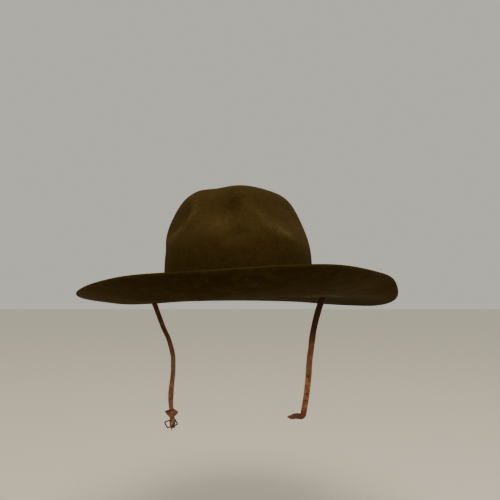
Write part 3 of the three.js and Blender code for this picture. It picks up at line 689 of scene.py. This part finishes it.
def band(turn, height, depth):
    """The crown's wall at that height, moved in by the felt, the gap and the depth into the leather."""
    inset = felt_wall / 2 + fit_gap + depth
    share = wall_share(height)
    across = (half_width * share - inset) * np.sin(turn)
    return np.stack([across, -(half_length * share - inset) * np.cos(turn), height], -1)


def band_hem(turn):
    """The lower edge's height: a plain hem, with one pointed tongue for each tear and small ragged teeth
    between them."""
    angle = np.degrees(np.arctan2(np.sin(turn), np.cos(turn)))
    hang = np.zeros_like(turn)
    for where, half, drop in tears:
        hang = np.maximum(hang, drop * np.clip(1 - np.abs(angle - where) / half, 0, 1))
    torn = smoothstep(angle, *torn_from) * (1 - smoothstep(angle, *torn_to))
    random = np.random.default_rng(11)
    teeth = np.interp(angle, np.linspace(-180, 180, teeth_count), random.uniform(-1, 1, teeth_count))
    ragged = np.clip(hang + torn * teeth * teeth_depth, -0.3, 1)
    return -sweatband_hem - (tear_depth - sweatband_hem) * ragged


band_sides = 900
band_rows = 16
band_turns = np.arange(band_sides) * 2 * np.pi / band_sides
hem = band_hem(band_turns)
row_share = (np.linspace(0, 1, band_rows) ** 1.6)[:, None]
heights = hem + (sweatband_height - hem) * row_share
thin = hem_thinned + (1 - hem_thinned) * smoothstep(heights - hem, 0, hem_thin_height)
back_face = band(band_turns, heights, 0 * heights)
swell = lumps(back_face, count=24, longest=40, shortest=12, seed=3) * band_swell * smoothstep(heights, 4, 12)
front_face = band(band_turns, heights, sweatband_wall * thin + swell)
band_leather = into_mesh("band_leather", np.concatenate([back_face[::-1], front_face]), ends="joined")
bevel = band_leather.modifiers.new("soft edges", "BEVEL")
bevel.width = 0.00025
bevel.segments = 2
bevel.angle_limit = np.radians(50)

# Old sheepskin: dark with sweat in patches of 20 mm and scuffed paler on its high spots. Its grain is drawn
# 0.7 mm across, coarser than it is, so that it shows.
band_dark = 0x2A1A10
band_plain = 0x4A3220
band_scuffed = 0x77604A
old_leather, tree, shader, place = material("old_sheepskin")
grain = add(tree, "ShaderNodeTexVoronoi", {"Vector": place, "Scale": 1500}, feature="F1")
sweat = add(tree, "ShaderNodeTexNoise", {"Vector": place, "Scale": 45, "Detail": 5, "Roughness": 0.6})
scuff = add(tree, "ShaderNodeTexNoise", {"Vector": place, "Scale": 260, "Detail": 6, "Roughness": 0.75})
sweaty = add(tree, "ShaderNodeMapRange", {0: sweat.outputs[0], 1: 0.4, 2: 0.62})
scuffed = add(tree, "ShaderNodeMapRange", {0: scuff.outputs[0], 1: 0.56, 2: 0.72, 4: 0.7})
tone = linear(band_dark)
for share, colour in [
    (sweaty.outputs[0], band_plain),
    (scuffed.outputs[0], band_scuffed),
]:
    tone = add(tree, "ShaderNodeMix", {0: share, 6: tone, 7: linear(colour)}, data_type="RGBA").outputs[2]
bump = add(tree, "ShaderNodeBump", {"Strength": 0.5, "Distance": 0.0003, "Height": grain.outputs["Distance"]})
shine = add(tree, "ShaderNodeMapRange", {0: scuff.outputs[0], 3: 0.45, 4: 0.85})
fill(shader, {
    "Base Color": tone,
    "Normal": bump.outputs[0],
    "Roughness": shine.outputs[0],
    "Specular IOR Level": 0.2,
})
band_leather.data.materials.append(old_leather)
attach(band_leather, "hat")
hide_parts("sweatband")

# Chin strap
# One flat strip of russet harness leather, 7.5 mm wide. It comes up through one slot, lies round the front of
# the crown's base on the brim and goes down through the other slot. Its end at the wearer's right is folded
# round the buckle's bar. Its other end is cut to a point, punched with holes and kinked from being knotted.
buckle_end_drop = 151.3
pointed_end_drop = 141
pointed_end_run = 20
keeper_height = 7.5
wire = 1.5

# Each hanging end below its slot: fall and inward drift as shares of its drop, the way that its
# width faces in degrees, and its width as a share of the strap's
buckle_end = np.array([
    # fall, drift, face, wide
    (0.05, 0.02, 53, 1),
    (0.15, 0.06, 57, 1),
    (0.25, 0.1, 60, 1),
    (0.33, 0.139, 61, 1),
    (0.4, 0.161, 61, 1),
    (0.47, 0.177, 61, 1),
    (0.54, 0.18, 60, 1),
    (0.62, 0.178, 59, 1),
    (0.69, 0.17, 57, 1),
    (0.76, 0.165, 50, 1),
    (0.83, 0.165, 42, 0.8),
    (0.885, 0.171, 30, 0.66),
])
pointed_end = np.array([
    # fall, drift, face, wide
    (0.055, 0.024, 156, 1),
    (0.13, 0.049, 157, 1),
    (0.21, 0.071, 158, 1),
    (0.29, 0.089, 158, 0.98),
    (0.37, 0.102, 159, 0.97),
    (0.44, 0.111, 159, 0.96),
    (0.52, 0.123, 159, 0.95),
    (0.6, 0.13, 159, 0.95),
    (0.68, 0.136, 159, 0.94),
    (0.765, 0.146, 158, 0.94),
    (0.845, 0.157, 158, 0.94),
    (0.925, 0.171, 158, 0.94),
    (0.975, 0.18, 158, 0.92),
])

# The elbow's radius and width, and the end past it: run is a share of the pointed end's run, and sag and wide
# are shares of the strap's width
elbow_share = 0.56
elbow_wide = 0.9
kinked_end = [
    # run, sag, wide
    (0.22, 0.56, 0.88),
    (0.45, 0.62, 0.82),
    (0.7, 0.8, 0.66),
    (0.9, 0.8, 0.36),
    (1, 0.78, 0.12),
]

# Round the crown: the turn where it leaves the wall, and how it tips over to lie on the brim at its slots
wrap_end = 76
wrap_gap = 0.5
wrap_sink = 0.6
wrap_steps = 18
tip_shares = (0.25, 0.5, 0.7, 0.86)
tip_bend = 1.7
tip_end = 0.9
slot_stations = [
    # out, height, as shares of the strap's thickness
    (-1.1, 0.62),
    (-0.35, 0.15),
    (0, -1),
    (0, -2.4),
]

# The fold round the bar: two layers that spread from the keeper's neck down to the bar. rise and wide are
# shares of the strap's width, out is a share of the way from the layers' gap to the fold's radius.
fold_layers = [
    # rise, out, wide
    (1.56, 0, 0.6),
    (0.7, 0.4, 0.84),
]
fold_wide = 0.6
fold_slide = 0.2
fold_shift = strap_width * fold_slide
tail_share = 0.6
prong_slot_rise = 0.62
bar_turn = np.radians(26.6)
bar_tilt = np.radians(10)
bar = np.array([np.cos(bar_turn) * np.cos(bar_tilt), np.sin(bar_turn) * np.cos(bar_tilt), np.sin(bar_tilt)])
rising = unit(up - bar * np.dot(up, bar))
fore = np.cross(bar, rising)
fold_radius = wire / 2 + fit_gap + strap_wall / 2
layer_gap = strap_wall / 2 + fit_gap / 2
keeper_foot = strap_width * fold_layers[0][0]
last_hang = buckle_end[-1]
fold_centre = (
    slot_place(-1)
    + np.array([last_hang[1], 0, -last_hang[0]]) * buckle_end_drop
    - rising * (keeper_foot + keeper_height)
    - fore * layer_gap
    - bar * fold_shift
)


def at_fold(forward, rise):
    """A point forward of the bar's middle and up from it. Up to the keeper the strap leans back to its own
    line."""
    leant = np.clip(rise / keeper_foot, 0, 1) * fold_shift
    return fold_centre + fore * forward + rising * rise + bar * leant


def fold_line():
    """Down the front layer, half round the bar, and up the back layer to the tail's end."""
    rows = []
    for rise, out, wide in fold_layers:
        rows.append((at_fold(layer_gap + (fold_radius - layer_gap) * out, rise * strap_width), bar, wide))
    for angle in np.radians(np.arange(0, 181, 30)):
        rows.append((at_fold(fold_radius * np.cos(angle), -fold_radius * np.sin(angle)), bar, fold_wide))
    for rise, out, wide in fold_layers[::-1]:
        rows.append((at_fold(-layer_gap - (fold_radius - layer_gap) * out, rise * strap_width), bar, wide))
    rows.append((at_fold(-layer_gap, keeper_foot + keeper_height * tail_share), bar, fold_layers[0][2]))
    return rows


def hanging_line(side, table, drop):
    """Straight down from the slot by fall, and inwards by drift, both as shares of the drop. A
    station of any of these lines is a point, the way that the strap's width faces, and its share of width."""
    place = slot_place(side)
    return [
        (place + np.array([-side * drift, 0, -fall]) * drop, facing(face), wide)
        for fall, drift, face, wide in table
    ]


wrap_height = break_top - wrap_sink + strap_width / 2
wrap_out = felt_wall / 2 + wrap_gap + strap_wall / 2


def wrap_station(turn):
    """Flat against the crown's wall, just above the break."""
    out = wrap_out - half_width * (1 - wall_share(wrap_height))
    place = wall(np.radians(turn), out)
    place[2] = wrap_height
    return place, up, 1.0


def brim_level(place):
    """The height of the felt's middle under a point of the brim, found by the share of the way out."""
    turn = np.arctan2(place[0] / half_width, -place[1] / half_length)
    start, end = brim(turn, np.float64(0)), brim(turn, np.float64(1))
    share = np.linalg.norm((place - start)[:2]) / np.linalg.norm((end - start)[:2])
    return brim(turn, share)[2]


def slot_line(side):
    """From the wrap's end over the brim to the slot, tipping from upright to flat, and down through the slot.
    Seen from above it is a quadratic curve, whose pull lies behind the slot."""
    place = slot_place(side)
    wide = facing(slots[side][1], side)
    away = np.array([side * wide[1], abs(wide[0]), 0])
    lie = brim_level(place) + felt_wall / 2 + fit_gap + strap_wall / 2
    hump = lie + strap_wall * slot_stations[0][1]
    leave = wrap_station(side * wrap_end)[0]
    pull = place - away * strap_width * 2
    rows = []
    for share in tip_shares:
        at = leave * (1 - share) ** 2 + pull * 2 * share * (1 - share) + place * share ** 2
        heading = (pull - leave) * (1 - share) + (place - pull) * share
        heading = unit(heading[:2])
        lean = np.radians(90 * (1 - share) ** tip_bend)
        at[2] = wrap_height + (hump - wrap_height) * smoothstep(share, 0, tip_end)
        level = np.array([-side * heading[1], side * heading[0], 0])
        rows.append((at, level * np.cos(lean) + up * np.sin(lean), 1.0))
    for out, height in slot_stations:
        at = place + away * out * strap_wall
        at[2] = lie + height * strap_wall
        rows.append((at, wide, 1.0))
    return rows


def kink_line():
    """Past the elbow the strap turns a quarter circle in its own plane and runs sideways to its point."""
    last = hanging_line(1, pointed_end, pointed_end_drop)[-1]
    elbow, sideways, _ = last
    radius = strap_width * elbow_share
    rows = []
    for angle in np.radians([30, 60, 90]):
        at = elbow + sideways * radius * (1 - np.cos(angle)) - up * radius * np.sin(angle)
        rows.append((at, sideways * np.cos(angle) + up * np.sin(angle), elbow_wide))
    for run, sag, wide in kinked_end:
        at = elbow + sideways * (radius + run * (pointed_end_run - radius)) - up * sag * strap_width
        rows.append((at, up, wide))
    return rows


def smooth_line(points, spacing):
    """Cubic through the points whose slopes allow for the points' uneven distances, by the square root of
    each. Returns points about spacing mm apart, and where each lies, counting the given points from 0."""
    points = np.asarray(points, float)
    before = np.concatenate([[2 * points[0] - points[1]], points, [2 * points[-1] - points[-2]]])
    gaps = np.sqrt(np.linalg.norm(np.diff(before, axis=0), axis=1))
    counts = np.maximum(np.round(gaps[1:-1] ** 2 / spacing), 1).astype(int)
    span = np.repeat(np.arange(len(counts)), counts)
    first = np.concatenate([[0], np.cumsum(counts)[:-1]])
    t = (np.arange(len(span)) - first[span]) / counts[span]
    span, t = np.append(span, len(counts) - 1), np.append(t, 1.0)
    a, b, c, d = (before[span + k] for k in range(4))
    e, f, g = (gaps[span + k][:, None] for k in range(3))
    slope = ((b - a) / e - (c - a) / (e + f) + (c - b) / f) * f
    next_slope = ((c - b) / f - (d - b) / (f + g) + (d - c) / g) * f
    where, t = span + t, t[:, None]
    line = b + slope * t + (3 * (c - b) - 2 * slope - next_slope) * t ** 2
    line = line + (2 * (b - c) + slope + next_slope) * t ** 3
    return line, where


def softened(rows, times):
    """Each row averaged with its two neighbours, a number of times, with the ends kept."""
    rows = rows.copy()
    for _ in range(times):
        rows[1:-1] = rows[1:-1] * 0.5 + (rows[:-2] + rows[2:]) * 0.25
    return rows


stations = [
    *fold_line()[::-1],
    *hanging_line(-1, buckle_end, buckle_end_drop)[::-1],
    *slot_line(-1)[::-1],
    *[wrap_station(turn) for turn in np.linspace(-wrap_end, wrap_end, wrap_steps + 1)],
    *slot_line(1),
    *hanging_line(1, pointed_end, pointed_end_drop),
    *kink_line(),
]
strap_line, strap_where = smooth_line([place for place, face, wide in stations], spacing=0.8)
known = np.arange(len(stations))
faces = np.array([face for place, face, wide in stations])
strap_face = np.stack([np.interp(strap_where, known, faces[:, k]) for k in range(3)], -1)
strap_wide = np.interp(strap_where, known, [wide for place, face, wide in stations]) * strap_width
heading = unit(np.gradient(strap_line, axis=0))
strap_face = softened(strap_face, times=6)
strap_face = unit(strap_face - heading * np.sum(strap_face * heading, -1)[:, None])
strap_thick = np.cross(heading, strap_face)


def boxy(value, power):
    """The value's size raised to a power, with its sign kept: it turns a circle into a superellipse."""
    return np.sign(value) * np.abs(value) ** power


def strap_section(corner, count):
    """A rectangle one unit wide and one thick, each corner a quarter of a superellipse."""
    angle = (np.arange(count) + 0.5) * 2 * np.pi / count
    return np.stack([boxy(np.cos(angle), corner), boxy(np.sin(angle), corner)], -1) / 2


section = strap_section(corner=0.3, count=28)
worn_width = strap_wide * (1 + 0.025 * lumps(strap_line, count=16, longest=30, shortest=7, seed=21))
across = worn_width[:, None, None] * section[None, :, :1] * strap_face[:, None, :]
deep = strap_wall * section[None, :, 1:] * strap_thick[:, None, :]
strap_leather = into_mesh("strap_leather", strap_line[:, None, :] + across + deep)

# The strap's edges are dressed dark. This is noted before the cuts, as it follows the section's points.
edge_dressed = 0.55
dressed_ring = edge_dressed * smoothstep(np.abs(section[:, 0]), 0.4, 0.5)
note(strap_leather, "edge", np.append(np.tile(dressed_ring, len(strap_line)), [0.5, 0.5]))

# Cut out of the strap: the slot that lets the prong through its fold, and the holes in its pointed end
prong_wire = 1.1
slot_low = fold_centre - rising * (fold_radius + strap_wall)
slot_high = fold_centre + rising * strap_width * prong_slot_rise
slot_size = (prong_wire + 2 * fit_gap, 4 * fold_radius, np.linalg.norm(slot_high - slot_low))
prong_slot = cutter((slot_low + slot_high) / 2, bar, fore, rising, slot_size)
punched_holes = [
    # fall below the slot, and the hole's width, in mm
    (94.5, 2.2),
    (115, 1.7),
    (123, 1.5),
]
punch_sides = 20
punch_reach = 0.3


def punch(fall, wide):
    """A round punch from the strap's front to near its back, at a height below the slot: dirt has closed the
    hole behind. Returns the tool and the hole's middle."""
    nearest = np.argmin(np.where(strap_line[:, 0] > 0, np.abs(strap_line[:, 2] + fall), np.inf))
    angle = np.arange(punch_sides) * 2 * np.pi / punch_sides
    ring = np.cos(angle)[:, None] * strap_face[nearest] + np.sin(angle)[:, None] * heading[nearest]
    front = -np.sign(strap_thick[nearest][1]) * strap_thick[nearest]
    place = strap_line[nearest]
    ends = np.array([-punch_reach, 1])[:, None, None] * strap_wall * front
    return into_mesh("punch", place + ring[None] * wide / 2 + ends, smooth=False), place


punches = [punch(fall, wide) for fall, wide in punched_holes]
cut(strap_leather, [prong_slot] + [tool for tool, hole in punches])

# Dirt and painted shade from 0 to 1, and where it fades or starts, in mm below the head opening: painted
# shade of the brim near the slots on both ends, dirt all along the buckle end and past the kink, and painted
# shade in the holes
# Painted shade of the brim on each end below its slot
pointed_brim_shade = 1
buckle_brim_shade = 0.4
buckle_grime = 0.28
brim_shade_fades = (36, 84)
kink_grime = 0.55
kink_starts = (126, 139)
# Painted shade in the punched holes
hole_shade = 0.7


def strap_dirt_and_shade():
    """How dark the leather is painted: painted shade in and round its holes and where it hangs below the brim
    from its slots, and dirt all along its buckle end and at its kinked end."""
    points = np.empty(len(strap_leather.data.vertices) * 3, np.float32)
    strap_leather.data.vertices.foreach_get("co", points)
    points = points.reshape(-1, 3) * 1000
    fall, pointed = -points[:, 2], points[:, 0] > 0
    dirt_and_shade = np.where(pointed, pointed_brim_shade, buckle_brim_shade) * (1 - smoothstep(fall, *brim_shade_fades))
    dirt_and_shade += np.where(pointed, kink_grime * smoothstep(fall, *kink_starts), buckle_grime)
    # Each hole and its edge are darkened as painted shade
    for (_, wide), (_, hole) in zip(punched_holes, punches):
        far = np.linalg.norm(points - hole, axis=1)
        dirt_and_shade = np.maximum(dirt_and_shade, hole_shade * (1 - smoothstep(far, wide * 0.6, wide)))
    return dirt_and_shade


note(strap_leather, "dirt_and_shade", strap_dirt_and_shade())

# Russet harness leather: dry, with specks of old dirt 1.6 mm apart and a paler bloom in patches of 6 mm where
# it has been bent. Its waxed surface has a weak gloss. Its pores are drawn 0.7 mm apart, coarser than they
# are, so that they show.
strap_deep = 0x6A3A1C
strap_plain = 0xA06944
strap_bright = 0xCC966A
# The speck colour also paints the brim's shade on the strap and the shade in its holes
strap_speck_and_shade = 0x3A1D0E
russet, tree, shader, place = material("russet_harness_leather")
pores = add(tree, "ShaderNodeTexVoronoi", {"Vector": place, "Scale": 1400}, feature="F1")
cloud = add(tree, "ShaderNodeTexNoise", {"Vector": place, "Scale": 160, "Detail": 4, "Roughness": 0.6})
speck = add(tree, "ShaderNodeTexNoise", {"Vector": place, "Scale": 620, "Detail": 3, "Roughness": 0.6})
clouded = add(tree, "ShaderNodeMapRange", {0: cloud.outputs[0], 1: 0.22, 2: 0.6})
specked = add(tree, "ShaderNodeMapRange", {0: speck.outputs[0], 1: 0.56, 2: 0.68, 4: 0.6})
bright = add(tree, "ShaderNodeMapRange", {0: cloud.outputs[0], 1: 0.5, 2: 0.75, 4: 0.7})
# This attribute carries dirt and painted shade
dirt_and_shade = add(tree, "ShaderNodeAttribute", attribute_name="dirt_and_shade")
dressed = add(tree, "ShaderNodeAttribute", attribute_name="edge")
tone = linear(strap_deep)
for share, colour in [
    (clouded.outputs[0], strap_plain),
    (bright.outputs[0], strap_bright),
    (specked.outputs[0], strap_speck_and_shade),
    (dressed.outputs["Fac"], strap_deep),
    (dirt_and_shade.outputs["Fac"], strap_speck_and_shade),
]:
    tone = add(tree, "ShaderNodeMix", {0: share, 6: tone, 7: linear(colour)}, data_type="RGBA").outputs[2]
bump = add(tree, "ShaderNodeBump", {"Strength": 0.5, "Distance": 0.0003, "Height": pores.outputs["Distance"]})
shine = add(tree, "ShaderNodeMapRange", {0: cloud.outputs[0], 3: 0.42, 4: 0.7})
fill(shader, {
    "Base Color": tone,
    "Normal": bump.outputs[0],
    "Roughness": shine.outputs[0],
    "Specular IOR Level": 0.35,
})
strap_leather.data.materials.append(russet)
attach(strap_leather, "hat")
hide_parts("chin_strap")

# Keeper
# A short sleeve of the same leather round both layers of the strap. It is drawn tight at the neck, and its
# upper end has spread into two ears.
keeper_wall = 1
keeper_flare = 7.6
keeper_half_flare = 0.6
keeper_neck = 0.34
keeper_boxy = 0.4
keeper_outer_ear = 0.05
keeper_inner_ear = 0.7
ear_bend = 1.5
keeper_sides = 64
keeper_rows = 14
keeper_half_depth = layer_gap + strap_wall / 2 + fit_gap + keeper_wall
keeper_foot_half = strap_width * keeper_neck + fit_gap + keeper_wall


def keeper(angle, share, depth):
    """A boxy ring, a superellipse whose half width grows with the share of the way up. Its height is lowered
    at the sides by |cos|^bend of the angle, so that they drop into ears."""
    half = np.interp(share, [0, 0.5, 1], [
        keeper_foot_half,
        keeper_foot_half + (keeper_flare - keeper_foot_half) * keeper_half_flare,
        keeper_flare,
    ])
    ear = np.where(np.cos(angle) > 0, keeper_inner_ear, keeper_outer_ear)
    rise = keeper_foot + keeper_height * share * (1 - ear * np.abs(np.cos(angle)) ** ear_bend)
    forward = (keeper_half_depth - depth) * boxy(np.sin(angle), keeper_boxy)
    sideways = fold_shift + (half - depth) * boxy(np.cos(angle), keeper_boxy)
    place = fold_centre + fore * forward[..., None] + rising * rise[..., None]
    return place + bar * sideways[..., None]


angles = np.arange(keeper_sides)[None] * 2 * np.pi / keeper_sides
shares = np.linspace(0, 1, keeper_rows)[:, None]
angles, shares = np.broadcast_arrays(angles, shares)
outside = keeper(angles, shares, 0)
within = keeper(angles, shares, keeper_wall)
keeper_leather = into_mesh("keeper_leather", np.concatenate([outside, within[::-1]]), ends="joined")

# Its inside is painted darker than its outside: dirt on both, and painted shade inside the sleeve
keeper_dirt_and_shade = (0.38, 0.85)
note(keeper_leather, "dirt_and_shade", np.repeat(keeper_dirt_and_shade, keeper_rows * keeper_sides))
keeper_leather.data.materials.append(russet)
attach(keeper_leather, "hat")
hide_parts("strap_keeper")

# Neck stitches
# Two short stitches of black waxed linen thread, sewn by hand through the fold's two layers just below the
# keeper's neck. They keep the fold closed round the bar.
thread = 0.8
stitch_reach = 1.1
stitch_below = 1.7
stitch_sides = (-1.2, 1.3)
stitch_arch = 0.7
stitch_sunk = 0.6


def tube(line, radius, sides, closed=False, across=None):
    """A round wire along a line: at each point a circle square to the line, whose first direction is as near
    to across as that allows."""
    if closed:
        heading = unit(np.roll(line, -1, 0) - np.roll(line, 1, 0))
    else:
        heading = unit(np.gradient(line, axis=0))
    first = unit(across - heading * (heading @ across)[:, None])
    second = np.cross(heading, first)
    angle = np.arange(sides) * 2 * np.pi / sides
    radius = np.broadcast_to(radius, len(line))[:, None, None]
    circle = np.cos(angle)[None, :, None] * first[:, None] + np.sin(angle)[None, :, None] * second[:, None]
    return line[:, None] + circle * radius


def stitch(side):
    """Half an ellipse of thread: out of the leather, across it and back in, in line with the bar."""
    angle = np.linspace(0, np.pi, 15)[:, None]
    middle = at_fold(layer_gap + strap_wall / 2, keeper_foot - stitch_below) + bar * side
    line = middle - bar * np.cos(angle) * stitch_reach / 2
    line = line + fore * (np.sin(angle) - stitch_sunk) * thread * stitch_arch
    return tube(line, thread / 2, sides=12, across=rising)


# Linen thread drawn through black wax, which leaves it smooth with a soft gloss
linen_black = 0x1A0F08
linen, tree, shader, place = material("waxed_linen_thread")
fill(shader, {"Base Color": linear(linen_black), "Roughness": 0.5})
for side in stitch_sides:
    stitched = into_mesh("stitch", stitch(side))
    stitched.data.materials.append(linen)
    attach(stitched, "hat")

# Buckle frame
# Steel wire bent to a rectangle with rounded corners and closed, once blacked and now dull brown. The strap's
# fold holds it by its bar.
buckle_wide = 14.5
buckle_tall = 11.5
frame_fold = np.radians(61)
frame_corner = 1.2
arm = rising * np.cos(frame_fold) - fore * np.sin(frame_fold)
frame_normal = np.cross(bar, arm)
corner_radius = wire * frame_corner


def frame_line():
    """A rectangle in the plane of the bar and the side arms, each corner a quarter circle."""
    half = (buckle_wide - wire) / 2 - corner_radius
    low, high = corner_radius, buckle_tall - wire - corner_radius
    points = []
    for side, tall, start in [(1, low, -90), (1, high, 0), (-1, high, 90), (-1, low, 180)]:
        angle = np.radians(start + np.arange(0, 91, 10))[:, None]
        corner = fold_centre + bar * side * half + arm * tall
        points.append(corner + (bar * np.cos(angle) + arm * np.sin(angle)) * corner_radius)
    corners = np.concatenate(points)
    ahead = np.roll(corners, -1, 0)
    count = np.maximum(np.round(np.linalg.norm(ahead - corners, axis=1) / 0.5), 1).astype(int)
    which = np.repeat(np.arange(len(corners)), count)
    share = (np.arange(len(which)) - np.concatenate([[0], np.cumsum(count)[:-1]])[which]) / count[which]
    return corners[which] + (ahead - corners)[which] * share[:, None]


bent_wire = tube(frame_line(), wire / 2, sides=20, closed=True, across=frame_normal)
buckle_wire = into_mesh("buckle_wire", bent_wire, ends="joined")

# Blacked drawn steel wire: the black has worn to dull grey brown metal, with rust in pits about 1 mm apart
steel_dark = 0x100D09
steel_bare = 0x2A241B
steel_rust = 0x4A2F1C
old_steel, tree, shader, place = material("blacked_steel_wire")
wear = add(tree, "ShaderNodeTexNoise", {"Vector": place, "Scale": 420, "Detail": 4, "Roughness": 0.6})
pits = add(tree, "ShaderNodeTexNoise", {"Vector": place, "Scale": 900, "Detail": 3, "Roughness": 0.6})
worn_off = add(tree, "ShaderNodeMapRange", {0: wear.outputs[0], 1: 0.45, 2: 0.62})
rusty = add(tree, "ShaderNodeMapRange", {0: pits.outputs[0], 1: 0.56, 2: 0.66, 4: 0.8})
tone = linear(steel_dark)
for share, colour in [
    (worn_off.outputs[0], steel_bare),
    (rusty.outputs[0], steel_rust),
]:
    tone = add(tree, "ShaderNodeMix", {0: share, 6: tone, 7: linear(colour)}, data_type="RGBA").outputs[2]
rough = add(tree, "ShaderNodeMapRange", {0: pits.outputs[0], 3: 0.35, 4: 0.7})
bump = add(tree, "ShaderNodeBump", {"Strength": 0.4, "Distance": 0.0001, "Height": pits.outputs[0]})
fill(shader, {
    "Base Color": tone,
    "Normal": bump.outputs[0],
    "Roughness": rough.outputs[0],
    "Metallic": 0.5,
})
buckle_wire.data.materials.append(old_steel)
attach(buckle_wire, "hat")
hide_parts("buckle_frame")

# Buckle prong
# The same steel in thinner wire, bent once round the bar into an eye and left straight, with a filed point.
# It swings on the bar.
prong_length = 11
prong_eye_wall = 0.9
prong_radii = (0.44, 0.52, 0.5, 0.24)
prong_fold = np.radians(132)
prong_way = rising * np.cos(prong_fold) - fore * np.sin(prong_fold)
prong_side = np.cross(bar, prong_way)
eye_radius = wire / 2 + fit_gap + prong_eye_wall / 2
loop = [
    # degrees round the bar from the prong's own direction, distance from the bar's middle
    *[(angle, eye_radius) for angle in range(335, 45, -20)],
    (38, eye_radius * 1.04),
    (20, eye_radius * 1.2),
    (7, eye_radius * 1.7),
    (0, eye_radius * 2.4),
    (0, prong_length * 0.5),
    (0, prong_length * 0.75),
    (0, prong_length),
]
loop_points = [
    fold_centre + (prong_way * np.cos(np.radians(angle)) + prong_side * np.sin(np.radians(angle))) * far
    for angle, far in loop
]
prong_path, _ = smooth_line(loop_points, spacing=0.25)
reach = np.linalg.norm(prong_path - fold_centre, axis=1)
prong_radius = np.interp(reach, [eye_radius, 3, prong_length * 0.8, prong_length], prong_radii)
prong_steel = into_mesh("prong_steel", tube(prong_path, prong_radius, sides=16, across=bar))
prong_steel.data.materials.append(old_steel)
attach(prong_steel, "prong")
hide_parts("buckle_prong")

# Floor and light
# A plain pale floor well below the strap, and soft studio light: one broad light above and in front, a weaker
# one from the side, and an even pale surround. Places and sizes are in metres.
floor_level = -0.32
floor_half = 12
floor_paint = 0xF0E8D8
lamp_warm = 0xFFF4E2
lamp_white = 0xFFFFFF
surround_pale = 0xDDDACE
surround_strength = 0.75
floor_mesh = bpy.data.meshes.new("floor")
corners = [(x * floor_half, y * floor_half, floor_level) for x, y in ((-1, -1), (1, -1), (1, 1), (-1, 1))]
floor_mesh.from_pydata(corners, [], [(0, 1, 2, 3)])
floor = bpy.data.objects.new("floor", floor_mesh)
bpy.context.scene.collection.objects.link(floor)
pale, tree, shader, place = material("painted_floor")
fill(shader, {"Base Color": linear(floor_paint), "Roughness": 0.9})
floor_mesh.materials.append(pale)


def light(name, place, aim, size, power, colour):
    """A square area light at place, turned to aim."""
    data = bpy.data.lights.new(name, "AREA")
    data.size = size
    data.energy = power
    data.color = linear(colour)[:3]
    lamp = bpy.data.objects.new(name, data)
    lamp.location = place
    way = np.array(aim) - np.array(place)
    level = np.hypot(way[0], way[1])
    lamp.rotation_euler = (np.arctan2(level, -way[2]), 0, np.arctan2(-way[0], way[1]))
    bpy.context.scene.collection.objects.link(lamp)


light("ceiling_light", place=(0.02, -0.9, 1.6), aim=(0, 0, 0), size=1, power=18.8, colour=lamp_warm)
light("side_light", place=(1.2, -0.8, 0.6), aim=(0, 0, 0), size=0.8, power=1.8, colour=lamp_white)
surround = bpy.data.worlds.new("surround")
surround.use_nodes = True
sky = surround.node_tree.nodes["Background"]
fill(sky, {"Color": linear(surround_pale), "Strength": surround_strength})
bpy.context.scene.world = surround

bpy.context.view_layer.update()
